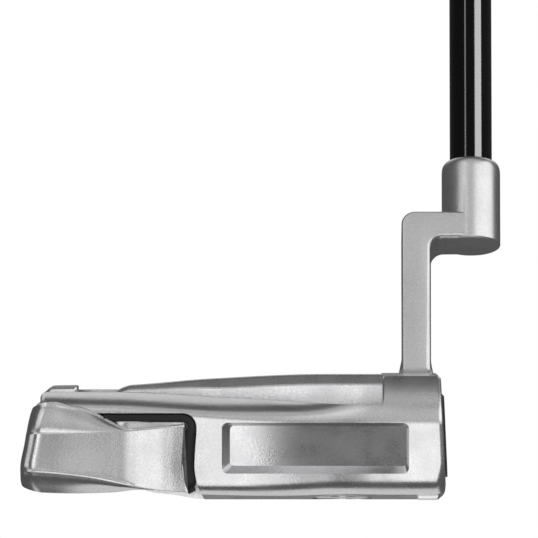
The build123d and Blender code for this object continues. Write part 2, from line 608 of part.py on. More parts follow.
def make_neck():
    """Leg, arm and barrel, drawn along the shaft's tilt, with a peg that goes into the head."""
    half = LEG_DEPTH / 2
    foot = -(half + 1.5) * tan(radians(TILT)) - 1.0
    leg = block(LEG_BACK_X, LEG_FRONT_X, -half, half, foot, ARM_HIGH)
    arm = block(LEG_BACK_X, SHAFT_X, -half, half, ARM_LOW, ARM_HIGH)
    frame = leg + arm
    outer_corner = frame.edges().filter_by(Axis.Y).filter_by(
        lambda e: abs(e.center().X - LEG_BACK_X) < 0.1 and e.center().Z > ARM_HIGH - 0.1)
    inner_corner = frame.edges().filter_by(Axis.Y).filter_by(
        lambda e: abs(e.center().X - LEG_FRONT_X) < 0.1 and abs(e.center().Z - ARM_LOW) < 0.1)
    frame = fillet(outer_corner + inner_corner, ELBOW_ROUND)
    front_bevel = frame.edges().filter_by(Axis.Z).filter_by(
        lambda e: abs(e.center().X - LEG_FRONT_X) < 0.1)
    frame = chamfer(front_bevel, LEG_ROUND)
    barrel = rod(BARREL_R, ARM_LOW - 0.2, BARREL_TOP, SHAFT_X, 0)
    barrel = fillet(barrel.edges().filter_by(GeomType.CIRCLE).group_by(Axis.Z)[-1], BARREL_ROUND)
    barrel = fillet(barrel.edges().filter_by(GeomType.CIRCLE).group_by(Axis.Z)[0], 0.8)
    neck = frame + barrel
    neck -= rod(TIP_R + BOND_THICKNESS, shaft_tip_v(), BARREL_TOP + 1.0, SHAFT_X, 0)
    neck = NECK_FRAME * neck
    neck -= block(LEG_BACK_X - 20, LEG_FRONT_X + 40, NECK_Y - 60, NECK_Y + 60, DECK_Z - 60, DECK_Z)
    return neck + spigot(SPIGOT_R, SPIGOT_DEPTH)


def shaft_tip_v():
    return ARM_LOW - 0.2 + BORE_FLOOR


def make_neck_screw():
    x = (LEG_BACK_X + LEG_FRONT_X) / 2
    screw = neck_screw_rod(NECK_SCREW_R, BAR_BACK_X + NECK_SCREW_INSET, x - SPIGOT_R - FIT)
    y = NECK_Y - (DECK_Z - NECK_SCREW_Z) * tan(radians(TILT))
    key = Pos(BAR_BACK_X + NECK_SCREW_INSET, y, NECK_SCREW_Z) * Rot(0, 90, 0)
    return screw - key * hex_socket(1.5, 0.0, 1.8)


# ---------------------------------------------------------------- shaft and its bond

def make_shaft_bond():
    ring = rod(TIP_R + BOND_THICKNESS, shaft_tip_v(), BARREL_TOP - 1.0)
    return SHAFT_FRAME * (ring - rod(TIP_R, shaft_tip_v() - 1, BARREL_TOP))


def make_shaft():
    """A tube that widens in even steps from the tip to the butt."""
    low, high = shaft_tip_v(), BUTT_END - CAP_THICKNESS
    rise = (BUTT_R - TIP_R) / STEP_COUNT
    outer, inner = [(TIP_R, low)], [(TIP_R - SHAFT_WALL, low)]
    for step in range(STEP_COUNT):
        radius, z = TIP_R + rise * step, low + FIRST_STEP + STEP_SPACING * step
        outer += [(radius, z), (radius + rise, z + 1.0)]
        inner += [(radius - SHAFT_WALL, z), (radius + rise - SHAFT_WALL, z + 1.0)]
    outer.append((BUTT_R, high))
    inner.append((BUTT_R - SHAFT_WALL, high))
    outline = [(x, 0, z) for x, z in outer + inner[::-1]]
    return SHAFT_FRAME * revolve(make_face(Polyline(*outline, close=True)), Axis.Z)


def make_tip_plug():
    low = shaft_tip_v() + 1.0
    return SHAFT_FRAME * rod(TIP_R - SHAFT_WALL, low, low + TIP_PLUG_LENGTH)


# ---------------------------------------------------------------- grip

def grip_section(v, half_width, flat_y, back_y, shrink):
    """A pistol grip's outline: a flat for the thumbs on the toe side and a full round back."""
    width, flat, back = half_width - shrink, flat_y - shrink, back_y - shrink
    start, end = Vector(0.62 * width, -flat, v), Vector(-0.62 * width, -flat, v)
    rear = Vector(0, back, v)
    right = [start, Vector(1.18 * width, -flat, v), Vector(1.12 * width, 0.45 * back, v),
             Vector(0.62 * width, back, v), rear]
    left = [rear, Vector(-0.62 * width, back, v), Vector(-1.12 * width, 0.45 * back, v),
            Vector(-1.18 * width, -flat, v), end]
    return Wire([Edge.make_bezier(*right), Edge.make_bezier(*left), Edge.make_line(end, start)])


def grip_stations():
    """Distance up the grip from its mouth, half width, flat and back of the outline."""
    mouth = BUTT_END - GRIP_LENGTH
    top = BUTT_END - CAP_THICKNESS
    shares = [(0.0, 10.0, 9.6, 10.2), (0.28, 11.2, 10.2, 11.8), (0.55, 12.0, 10.6, 13.6),
              (0.8, 12.6, 10.8, 16.4), (1.0, 13.2, 11.0, 18.4)]
    return [(mouth + share * (top - mouth), w, f, b) for share, w, f, b in shares]


def grip_loft(shrink):
    return Solid.make_loft([grip_section(*station, shrink) for station in grip_stations()])


def grip_bore(radius):
    return rod(radius, BUTT_END - GRIP_LENGTH - 5, BUTT_END)


def make_grip_sleeve():
    return SHAFT_FRAME * (Part() + grip_loft(0.0) - grip_loft(GRIP_SKIN))


def make_grip_core():
    return SHAFT_FRAME * (Part() + grip_loft(GRIP_SKIN) - grip_bore(BUTT_R + GRIP_TAPE))


def make_grip_tape():
    low = BUTT_END - GRIP_LENGTH + 6.0
    ring = rod(BUTT_R + GRIP_TAPE, low, BUTT_END - CAP_THICKNESS)
    return SHAFT_FRAME * (ring - grip_bore(BUTT_R))


def make_grip_cap():
    low = BUTT_END - CAP_THICKNESS
    top = grip_stations()[-1]
    face = make_face(grip_section(low, *top[1:], 0.0).edges())
    cap = extrude(face, amount=CAP_THICKNESS, dir=(0, 0, 1))
    cap = chamfer(cap.edges().group_by(Axis.Z)[-1], CAP_EDGE)
    cap += rod(BUTT_R - SHAFT_WALL - FIT, low - CAP_PLUG_LENGTH, low + 0.5)
    return SHAFT_FRAME * (cap - rod(VENT_R, low - CAP_PLUG_LENGTH - 1, BUTT_END + 1))


# ---------------------------------------------------------------- all the pieces

def build():
    save("head_body", make_head_body())
    save("sight_line", make_sight_line())
    save("face_insert", make_face_insert())
    save("insert_tape", make_insert_tape())
    for side, sign in SIDES.items():
        save(f"{side}_wing_weight", make_wing(sign))
        save(f"{side}_damper", make_damper(sign))
        save(f"{side}_wing_screws", make_wing_screws(sign))
        save(f"{side}_sole_weight", make_sole_weight(sign))
        save(f"{side}_weight_washer", make_weight_washer(sign))
    save("wing_screw_grommets", make_grommets())
    save("sole_plate", make_sole_plate())
    save("sole_plate_screws", make_plate_screws())
    save("foam_core", make_foam_core())
    save("hosel_neck", make_neck())
    save("neck_set_screw", make_neck_screw())
    save("shaft_bond", make_shaft_bond())
    save("shaft", make_shaft())
    save("shaft_tip_plug", make_tip_plug())
    save("grip_sleeve", make_grip_sleeve())
    save("grip_core", make_grip_core())
    save("grip_tape", make_grip_tape())
    save("grip_cap", make_grip_cap())


build()
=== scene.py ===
"""Looks of a mallet putter with a plumber's neck, laid out as a Blender add-on.

Everything is in metres in the club's own frame: the origin is on the ground under the middle
of the head, +X out of the face, +Y to the heel, +Z up. Shapes are worked out in millimetres
and scaled once, when their mesh is made.
"""
import json
import math

import bmesh
import bpy
import numpy as np
from bpy.props import FloatProperty, FloatVectorProperty, PointerProperty
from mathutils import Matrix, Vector


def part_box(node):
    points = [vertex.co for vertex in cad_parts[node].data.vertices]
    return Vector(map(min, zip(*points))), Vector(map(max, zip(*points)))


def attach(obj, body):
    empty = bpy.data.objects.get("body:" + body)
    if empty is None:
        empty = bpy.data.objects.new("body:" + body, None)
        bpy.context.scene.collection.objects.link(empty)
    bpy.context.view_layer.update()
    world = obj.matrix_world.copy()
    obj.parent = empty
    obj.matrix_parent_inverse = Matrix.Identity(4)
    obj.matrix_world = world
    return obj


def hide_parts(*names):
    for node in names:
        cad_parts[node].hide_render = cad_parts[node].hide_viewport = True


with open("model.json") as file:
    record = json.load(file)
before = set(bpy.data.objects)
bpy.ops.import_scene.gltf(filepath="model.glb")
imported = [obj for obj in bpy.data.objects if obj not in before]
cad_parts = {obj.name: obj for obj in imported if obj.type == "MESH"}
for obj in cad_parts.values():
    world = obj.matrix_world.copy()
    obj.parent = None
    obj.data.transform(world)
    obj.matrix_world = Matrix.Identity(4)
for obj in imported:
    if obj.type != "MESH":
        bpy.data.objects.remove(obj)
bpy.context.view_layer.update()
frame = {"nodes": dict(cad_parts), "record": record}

bl_info = {
    "name": "Mallet Putter",
    "version": (1, 0, 0),
    "blender": (4, 5, 0),
    "location": "3D View > Sidebar > Putter",
    "description": "Builds the visible surfaces and finishes of a mallet putter",
    "category": "Add Mesh",
}

MM = 0.001
WELD = 1e-7                                   # metres
ROUND_POINTS = 96                             # round the shaft, the barrel and the grip
BODY_LOW, BODY_HIGH = (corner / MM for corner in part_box("head_body"))

# sizes that follow the frame, in millimetres
DECK_Z = BODY_HIGH.z
HALF_WIDTH = BODY_HIGH.y
REAR_X = BODY_LOW.x
FACE_X = 46.9
FACE_FOOT_Z = 5.0
FACE_LEAN = math.tan(math.radians(2.5))
BAR_BACK_X = 33.0
TILT = math.radians(19.5)
NECK_Y = 24.0
SHAFT_X = 53.3
BUTT_V = 864.0 - DECK_Z / math.cos(TILT)


# ---------------------------------------------------------------- mesh helpers

def smooth_curve(x, knots):
    """A smooth curve through (x, value) knots that doesn't overshoot: a cubic between each pair,
    whose end slopes are the harmonic mean of the slopes on both sides, and 0 at a turn."""
    kx, ky = np.array(knots, float).T
    step, rise = np.diff(kx), np.diff(ky)
    slope = rise / step
    inner = np.zeros(len(kx))
    both = slope[:-1] * slope[1:]
    total = np.where(both > 0, slope[:-1] + slope[1:], 1.0)
    inner[1:-1] = np.where(both > 0, 2 * both / total, 0.0)
    inner[0], inner[-1] = slope[0], slope[-1]
    x = np.clip(np.asarray(x, float), kx[0], kx[-1])
    i = np.clip(np.searchsorted(kx, x) - 1, 0, len(step) - 1)
    t = (x - kx[i]) / step[i]
    return (ky[i] * (1 + 2 * t) * (1 - t) ** 2 + ky[i + 1] * t * t * (3 - 2 * t)
            + step[i] * (inner[i] * t * (1 - t) ** 2 - inner[i + 1] * t * t * (1 - t)))


def ease(t):
    """0 to 1 with level ends: 3t squared less 2t cubed."""
    t = np.clip(t, 0.0, 1.0)
    return t * t * (3 - 2 * t)


def bezier(p0, p1, p2, p3, count):
    """Points on a cubic Bezier curve between p0 and p3."""
    t = np.linspace(0, 1, count)[:, None]
    p0, p1, p2, p3 = (np.array(p, float) for p in (p0, p1, p2, p3))
    return (1 - t) ** 3 * p0 + 3 * t * (1 - t) ** 2 * p1 + 3 * t * t * (1 - t) * p2 + t ** 3 * p3


def resample(curve, count):
    """count points along a polyline, evenly spaced by its length."""
    run = np.concatenate(([0.0], np.cumsum(np.linalg.norm(np.diff(curve, axis=0), axis=1))))
    at = np.linspace(0, run[-1], count)
    return np.stack([np.interp(at, run, curve[:, axis]) for axis in range(curve.shape[1])], 1)


def on_circle(centre, radius, angles):
    """Points round a centre at the given angles."""
    return np.array(centre) + radius * np.stack([np.cos(angles), np.sin(angles)], 1)


def circle(radius, count=48):
    """A circle's outline about 0, 0."""
    return on_circle((0.0, 0.0), radius, np.linspace(0, 2 * math.pi, count, endpoint=False))


def round_rectangle(half_x, half_y, corner, steps=8):
    """A rectangle's outline with quarter circles for corners."""
    turn = np.linspace(0, math.pi / 2, steps)
    return np.concatenate([
        on_circle((sx * (half_x - corner), sy * (half_y - corner)), corner, turn + quarter * math.pi / 2)
        for quarter, (sx, sy) in enumerate(((1, 1), (-1, 1), (-1, -1), (1, -1)))])


def laid(outline, axis, at, offset=(0.0, 0.0)):
    """A flat outline moved by an offset and laid square to one of the frame's axes, at a place
    on that axis."""
    return np.insert(outline + np.array(offset), axis, at, axis=1)


def skin(rings, start=True, end=True):
    """Points and faces of a skin over closed rings, rings by points by 3, with flat ends: a quad
    between each two points of a ring and the same two of the next."""
    rows, columns = rings.shape[:2]
    r, c = (a.ravel() for a in np.meshgrid(np.arange(rows - 1), np.arange(columns), indexing="ij"))
    here, ahead, after = r * columns, (r + 1) * columns, (c + 1) % columns
    faces = np.stack([here + c, here + after, ahead + after, ahead + c], 1).tolist()
    if start:
        faces.append(list(range(columns)))
    if end:
        faces.append(list(range((rows - 1) * columns, rows * columns))[::-1])
    return rings.reshape(-1, 3), faces


def prism(start, end):
    """A closed prism between two outlines with the same number of points."""
    return skin(np.stack([start, end]))


def make_mesh(name, points, faces, sharp_angle=38.0):
    """A mesh object from points in millimetres and faces, welded, with its faces outwards, and
    smooth but for edges sharper than an angle."""
    mesh = bpy.data.meshes.new(name)
    mesh.from_pydata((np.asarray(points) * MM).tolist(), [], faces)
    obj = bpy.data.objects.new(name, mesh)
    bpy.context.scene.collection.objects.link(obj)
    weld_and_face_out(mesh)
    mesh.shade_smooth()
    set_sharp(obj, sharp_angle)
    return obj


def set_sharp(obj, angle):
    """Keeps the edges that turn by more than an angle in degrees crisp."""
    obj.data.set_sharp_from_angle(angle=math.radians(angle))


def weld_and_face_out(mesh):
    """Merges points that lie together and turns every face outwards."""
    work = bmesh.new()
    work.from_mesh(mesh)
    bmesh.ops.remove_doubles(work, verts=work.verts, dist=WELD)
    bmesh.ops.dissolve_degenerate(work, edges=work.edges, dist=WELD)
    bmesh.ops.recalc_face_normals(work, faces=work.faces)
    work.to_mesh(mesh)
    work.free()
    mesh.update()


def tube_mesh(name, rings, capped=True, sharp_angle=38.0):
    """A mesh object from the skin over closed rings."""
    return make_mesh(name, *skin(rings, capped, capped), sharp_angle)


def turned(name, profile):
    """A profile of (radius, height) turned about the shaft's axis; both ends lie on the axis."""
    angle = np.linspace(0, 2 * math.pi, ROUND_POINTS, endpoint=False)
    r, v = np.array(profile, float).T[..., None]
    rings = np.stack([r * np.cos(angle), r * np.sin(angle), v + 0 * angle], 2)
    return tube_mesh(name, shaft_frame(rings), capped=False)


def boolean(obj, tool, operation, folds=False):
    """Joins a closed piece to another, or takes it out of it, and uses it up; folds says that
    the other's skin may cross itself."""
    modifier = obj.modifiers.new("combine", "BOOLEAN")
    modifier.operation, modifier.solver, modifier.object = operation, "EXACT", tool
    modifier.use_self = folds
    old = obj.data
    depsgraph = bpy.context.evaluated_depsgraph_get()
    mesh = bpy.data.meshes.new_from_object(obj.evaluated_get(depsgraph))
    obj.modifiers.clear()
    obj.data = mesh
    bpy.data.meshes.remove(old)
    mesh.name = obj.name
    bpy.data.objects.remove(tool)


def combine(obj, shapes, operation, folds=False):
    """Joins closed shapes, each points and faces, to a piece, or takes them out of it."""
    points, faces, base = [], [], 0
    for shape_points, shape_faces in shapes:
        points.append(shape_points)
        faces += [[base + i for i in face] for face in shape_faces]
        base += len(shape_points)
    boolean(obj, make_mesh("tool", np.concatenate(points), faces), operation, folds)


def rounded_profile(points, radii, steps=8):
    """A polyline whose corners are rounded by quadratic arcs that start radius before each."""
    points = [np.array(p, float) for p in points]
    out = [points[0][None]]
    for before, at, after, radius in zip(points, points[1:], points[2:], radii):
        start = at + (before - at) * min(1.0, radius / max(np.linalg.norm(before - at), 1e-9))
        end = at + (after - at) * min(1.0, radius / max(np.linalg.norm(after - at), 1e-9))
        t = np.linspace(0, 1, steps)[:, None]
        out.append((1 - t) ** 2 * start + 2 * t * (1 - t) * at + t * t * end)
    return np.concatenate(out + [points[-1][None]])


def neck_frame(local):
    """From the neck's own axes, X, across and along the shaft, to the club's frame."""
    x, w, v = local[..., 0], local[..., 1], local[..., 2]
    sin, cos = math.sin(TILT), math.cos(TILT)
    return np.stack([x, NECK_Y + w * cos + v * sin, DECK_Z + v * cos - w * sin], -1)


def shaft_frame(local):
    """From across, across and along the shaft to the club's frame."""
    return neck_frame(local + np.array([SHAFT_X, 0.0, 0.0]))


def put(obj, slot, node):
    """Finish and slot of a piece of the club, and the CAD node that it stands for."""
    obj.data.materials.clear()
    obj.data.materials.append(finish(slot))
    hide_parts(node)
    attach(obj, "club")


def box_of(node):
    """The low and high corners of a CAD node's box, in millimetres."""
    return tuple(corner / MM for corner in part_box(node))


# ---------------------------------------------------------------- head shell

SEAT_FRONT_X, SEAT_TOP_Z, SEAT_CORNER, SEAT_INNER_Y = -8.3, 19.3, 3.1, 27.5
POCKET_Y, POCKET_FLOOR_Z, POCKET_CORNER = 25.5, 12.0, 3.0
REAR_BAR_X, REAR_BAR_Z = -35.0, 24.9
SPINE_Y, SPINE_REAR_X = 9.5, -27.0
SIGHT_REAR_X, SIGHT_FRONT_X, SIGHT_Y = -18.0, 43.5, 0.8
WINDOW = (-2.7, 38.8, 5.9, 17.2)              # rear, front, low and high edges
WINDOW_DRAFT = (1.8, 0.5, 1.7, 0.7)           # how far each wall leans in, in the same order
WINDOW_CORNER = 1.3
PAD = (40.4, 45.6, 44.0)                      # rear, front and half width
WALL_FOOT_Z = 21.2                            # where the bar's rear wall meets the rails' crests
SOLE_FLAT_Y = HALF_WIDTH - 19.0               # half width of the sole's flat
WINDOW_FLOOR = (42.0, 16.0, 0.0072)           # half width, where its bend ends, and its bend
PLATE_ROOM, PLATE_CORNER = 0.2, 4.2           # the sole plate's recess round the plate
PORT_R, PORT_DEPTH = 6.72, 3.12               # the wide mouth of a sole weight's port
INSERT_ROOM, INSERT_HALF_HEIGHT, INSERT_CORNER = 0.06, 9.06, 5.0
INSERT_Z, INSERT_DEPTH = 14.0, 1.7
SET_SCREW_R = 1.6
OUTSIDE, BELOW = 60.0, -2.0                   # beyond the head, for the ends of cutters


def along(*knots):
    """A function of x: the smooth curve through (x, value) knots."""
    return lambda x: smooth_curve(x, knots)


# the upright side's half width, and the crests of the rails behind the bar
side_y = along((-43, 43.6), (-26, 45.2), (-9, 46.3), (8, 46.9), (20, 48.1), (31, 49.6), (38, 50.0),
               (48, 50.0))
crest_z = along((-43, 23.9), (-27, 23.9), (-12, 23.3), (-6, 22.9), (6, 22.3), (20, 21.5),
                (33, WALL_FOOT_Z))
crest_y = along((-43, 37.9), (-12, 38.7), (0, 39.8), (12, 42.0), (22, 44.6), (33, 48.6))

# where a rail's shoulder ends in the side, and the round skirt between the side and the sole
rail_foot_z = along((-43, 19.2), (-26, 19.1), (-12, 18.4), (1.3, 17.5), (15, 16.9), (33, 16.8))
skirt_radius = along((-9, 2.6), (1.3, 3.0), (15, 4.0), (33, 4.2))
skirt_top_z = along((-43, 5.0), (-12, 3.6), (1.3, 3.65), (8, 4.0), (15, 4.5), (21.5, 4.85), (35, 4.9))
sole_z = along((-43, 2.9), (-22, 2.6), (-18.2, 1.5), (-14, 1.05), (-6.5, 0.0), (48, 0.0))

# the spine's top, its side bevels and how far its tail drops
spine_z = along((-27, 25.0), (-22.5, 25.2), (-5, 26.6), (20, DECK_Z), (47, DECK_Z))
spine_bevel = along((-27, 0.9), (-12, 1.5), (0, 2.2), (33, 2.2))
spine_drop = along((-27.0, -2.0), (-26.3, -1.15), (-24.6, -0.35), (-22.8, 0.0), (34, 0.0))

# how far the seat's front wall lies in front of its straight line, by height
seat_bow = along((-1, 2.2), (1.0, 1.25), (3.0, 0.3), (7.5, -0.45), (11, -0.3), (14.7, 0.0))


def bar_top(side):
    """The bar's end from its deck's edge to its upright side, ever steeper."""
    end = bezier((42.9, 27.3), (46.0, 24.7), (side, 20.4), (side, 16.6), 60)
    edge = bezier((42.0, DECK_Z), (42.4, DECK_Z), (42.7, DECK_Z - 0.12), end[0], 8)
    return np.concatenate([edge[:-1], end])


def bar_end(x):
    """The bar's end above and below the height of the rails' crests."""
    return split_at(bar_top(side_y(x)), 1, WALL_FOOT_Z)


def rail_top(x):
    """A rail's outside from its crest down a shallow slope and over a round shoulder; near the
    bar it swells into the foot of the bar's end."""
    side, foot = side_y(x), rail_foot_z(x)
    crest = np.array([crest_y(x), crest_z(x)])
    run = 0.48 * (side - crest[0])
    rail = bezier(crest, crest + (run, -0.29 * run), (side, foot + 2.5), (side, foot), 60)
    rail, bar = (resample(curve, 48) for curve in (rail, bar_end(x)[1]))
    return rail + (bar - rail) * ease((x - 10.0) / 23.0)


def outer_curve(x, bar):
    """The outside of one section from its top edge down to the middle of the sole: shoulder,
    upright side, a round skirt and the flat sole."""
    sole, radius = sole_z(x), skirt_radius(x)
    top = bar_end(x)[1] if bar else rail_top(x)
    skirt = on_circle((side_y(x) - radius, skirt_top_z(x) + 0.75 * sole), radius,
                      np.radians(np.linspace(0, -60, 18)))
    flat = np.array([(SOLE_FLAT_Y, sole), (0.0, sole)])
    return np.concatenate([top, skirt, flat])


def half_section(x, bar):
    """One side of the head's outline at x, from the middle of the top to the middle of the sole.
    Bar and rail have the same points below the foot of the bar's rear wall."""
    curve = outer_curve(x, bar)
    top, side = split_at(curve, 1, WINDOW[3] - 2.0)
    side, skirt = split_at(side, 1, WINDOW[2])
    skirt, sole = split_at(skirt, 0, SOLE_FLAT_Y)
    deck_z = DECK_Z if bar else top[0][1]
    deck = np.stack([np.linspace(0.0, 30.0, 8), np.full(8, deck_z)], 1)
    upper = bar_end(x)[0] if bar else top[:1]
    upper = resample(np.concatenate([deck[-1:], upper]), 30)
    return np.concatenate([deck[:-1], upper[:-1], resample(top, 50), resample(side, 12)[1:],
                           resample(skirt, 30)[1:], resample(sole, 8)[1:]])


def split_at(curve, axis, value):
    """Cuts a curve where its coordinate on an axis falls to a value."""
    i = max(1, int(np.argmax(curve[:, axis] <= value + 1e-9)))
    a, b = curve[i - 1], curve[i]
    t = (a[axis] - value) / max(a[axis] - b[axis], 1e-9)
    cut = a + t * (b - a)
    return np.concatenate([curve[:i], cut[None]]), np.concatenate([cut[None], curve[i:]])


def inset_section(section, amount):
    """A section drawn in along its own normals, with its ends kept on the middle plane."""
    along = np.gradient(section, axis=0)
    along /= np.maximum(np.linalg.norm(along, axis=1, keepdims=True), 1e-9)
    inward = np.stack([along[:, 1], -along[:, 0]], 1)
    drawn = section + inward * (np.zeros(len(section)) + amount)[:, None]
    drawn[:, 0] = np.maximum(drawn[:, 0], 0.0)
    drawn[[0, -1], 0] = 0.0
    return drawn


def head_points():
    """All sections as an array of stations by points by 3, for the side at +Y: the rear end's
    round edge, the rails, the bar and the round edge of the face."""
    rear_radius, wall_round = 1.4, 0.45

    def quarter(count):
        return np.radians(np.linspace(0, 90, count))

    rows = []
    rear = half_section(REAR_X, False)
    for turn in quarter(7):
        drawn = inset_section(rear, rear_radius * (1 - math.sin(turn)))
        rows.append((REAR_X + rear_radius * (1 - math.cos(turn)), drawn))
    for x in (*np.linspace(REAR_X + rear_radius + 1.0, BAR_BACK_X - 11.0, 62),
              *np.linspace(BAR_BACK_X - 10.6, BAR_BACK_X, 26)):
        rows.append((x, half_section(x, False)))
    rail = half_section(BAR_BACK_X, False)
    for turn in quarter(6):
        x = BAR_BACK_X + 0.001 + wall_round * (1 - math.cos(turn))
        bar = half_section(x, True)
        apart = np.linalg.norm(bar - rail, axis=1)
        rows.append((x, inset_section(bar, wall_round * (1 - math.sin(turn)) * ease(apart / 2.0))))
    for x in np.linspace(BAR_BACK_X + 1.2, FACE_X - 3.4, 16):
        rows.append((x, half_section(x, True)))
    front = half_section(FACE_X, True)
    radius = 1.0 + 1.6 * ease((9.0 - front[:, 1]) / 7.0)
    for turn in quarter(12):
        x = FACE_X - radius + radius * math.sin(turn)
        rows.append((x, inset_section(front, radius * (1 - math.cos(turn)))))
    points = np.stack([laid(row, 0, x) for x, row in rows])
    lean = FACE_LEAN * (points[..., 2] - FACE_FOOT_Z)
    points[..., 0] -= lean * ease((points[..., 0] - 38.0) / 8.0)
    return points


def make_head_shell():
    """The head as one skin: each section's half is mirrored into a ring, and the rings are
    joined from the rear to the face. Pockets, seats, windows and recesses are cut out of it."""
    half = head_points()
    mirror = half[:, -2:0:-1] * np.array([1.0, -1.0, 1.0])
    shell = tube_mesh("head_shell", np.concatenate([half, mirror], 1))
    combine(shell, [pocket_cutter()], "DIFFERENCE")
    combine(shell, [spine_block(), rear_block(), sole_pad()], "UNION")
    combine(shell, head_cutters(), "DIFFERENCE")
    set_sharp(shell, 24.0)
    return shell


def pocket_cutter():
    """The open hollow between the bar and the rear bar, with round corners."""
    middle = (BAR_BACK_X + REAR_BAR_X) / 2
    outline = round_rectangle((BAR_BACK_X - REAR_BAR_X) / 2, POCKET_Y, POCKET_CORNER)
    return prism(*(laid(outline, 2, z, (middle, 0.0)) for z in (POCKET_FLOOR_Z, DECK_Z + 8.0)))


def spine_block():
    """The spine's bevelled section carried along the top's curve, from its sloping tail into the bar."""
    xs = np.concatenate([SPINE_REAR_X + np.array([0.0, 0.5, 1.2, 2.0, 2.8, 3.5, 4.2, 5.0]),
                         np.linspace(SPINE_REAR_X + 6.0, BAR_BACK_X + 1.0, 50)])
    rings = []
    for x, drop in zip(xs, spine_drop(xs)):
        top, bevel = spine_z(x) + drop, spine_bevel(x)
        half = np.concatenate([
            [(0.0, top)],
            bezier((SPINE_Y - bevel - 0.5, top), (SPINE_Y - bevel, top), (SPINE_Y - bevel, top),
                   (SPINE_Y - bevel + 0.35, top - 0.35), 5),
            bezier((SPINE_Y - 0.3, top - bevel + 0.3), (SPINE_Y, top - bevel), (SPINE_Y, top - bevel),
                   (SPINE_Y, top - bevel - 0.45), 5),
            [(SPINE_Y, POCKET_FLOOR_Z - 1.0)]])
        ring = np.concatenate([half, half[::-1] * np.array([-1.0, 1.0])])
        rings.append(laid(ring, 0, x))
    return skin(np.stack(rings))


def rear_block():
    """The rear bar's upper part: an outline in X and height, round at its top, across the pocket."""
    outline = rounded_profile([(-42.9, POCKET_FLOOR_Z + 2.0), (-42.9, 22.0), (-41.3, REAR_BAR_Z),
                               (REAR_BAR_X, REAR_BAR_Z + 0.1), (REAR_BAR_X, POCKET_FLOOR_Z + 2.0)],
                              (0.8, 1.2, 0.5), 7)
    return ribbed(outline, POCKET_Y + 0.3, 0.5)


def sole_pad():
    """The front pad under the bar, round along its lower edges."""
    rear, front, half = PAD
    outline = rounded_profile([(rear, 3.0), (rear, 0.0), (front, 0.0), (front + 0.3, 3.0)], (0.7, 0.7), 6)
    return ribbed(outline, half, 0.4)


def ribbed(outline, half, bevel):
    """An outline in X and height carried across the head, drawn in at both ends by a bevel."""
    middle = (outline.min(0) + outline.max(0)) / 2
    size = (outline.max(0) - outline.min(0)) / 2
    shrink = 1 - bevel / size
    return skin(np.stack([laid(middle + (outline - middle) * share, 1, y) for y, share in (
        (-half, shrink), (-half + bevel, 1.0), (half - bevel, 1.0), (half, shrink))]))


def window_cutter(sign):
    """A rounded rectangle whose walls lean in to a floor that curves out towards the front. Its
    top and bottom edges are sampled at the same places along X, so that the floor is bent one
    way only."""
    level = 42

    def chain(rear, front, low, high, corner):
        turn = np.radians(np.linspace(0, 90, 8))
        rise = corner * (1 - np.sin(turn))
        run = corner * (1 - np.cos(turn))
        xs = np.concatenate([rear + run, np.linspace(rear + corner, front - corner, level + 2)[1:-1],
                             (front - run)[::-1]])
        inset = np.concatenate([rise, np.zeros(level), rise[::-1]])
        return np.concatenate([xs, xs[::-1]]), np.concatenate([high - inset, (low + inset)[::-1]])

    def floor_y(x):
        half_width, bend_end, bend = WINDOW_FLOOR
        x = np.clip(x, 0.0, None)
        return half_width + np.where(x < bend_end, bend * x * x, 1.843 + 0.2304 * (x - bend_end))

    rear, front, low, high = WINDOW
    draft = WINDOW_DRAFT
    x, z = chain(rear, front, low, high, WINDOW_CORNER)
    fx, fz = chain(rear + draft[0], front - draft[1], low + draft[2], high - draft[3], WINDOW_CORNER * 0.7)
    rings = np.stack([np.stack([x, 53.0 + 0 * x, z], 1), np.stack([x, side_y(x) + 0.02, z], 1),
                      np.stack([fx, floor_y(fx), fz], 1)]) * np.array([1.0, sign, 1.0])
    points, faces = skin(rings, end=False)
    columns = len(x)
    j = np.arange(columns // 2 - 1)
    floor = np.stack([j, j + 1, columns - 2 - j, columns - 1 - j], 1) + 2 * columns
    return points, faces + floor.tolist()


def seat_cutter(sign):
    """The wing's seat: an L in X and height, round at its corner, whose front wall bows back and
    sweeps forward at the sole, open to the side, the rear and below."""
    corner = on_circle((SEAT_FRONT_X - SEAT_CORNER, SEAT_TOP_Z - SEAT_CORNER), SEAT_CORNER,
                       np.radians(np.linspace(90, 0, 16)))
    z = np.linspace(SEAT_TOP_Z - SEAT_CORNER, -1.0, 24)[1:]
    wall = np.stack([SEAT_FRONT_X + seat_bow(z), z], 1)
    outline = np.concatenate([[(-OUTSIDE, SEAT_TOP_Z)], corner, wall, [(-OUTSIDE, -1.0)]])
    return prism(*(laid(outline, 1, sign * y) for y in (SEAT_INNER_Y, OUTSIDE)))


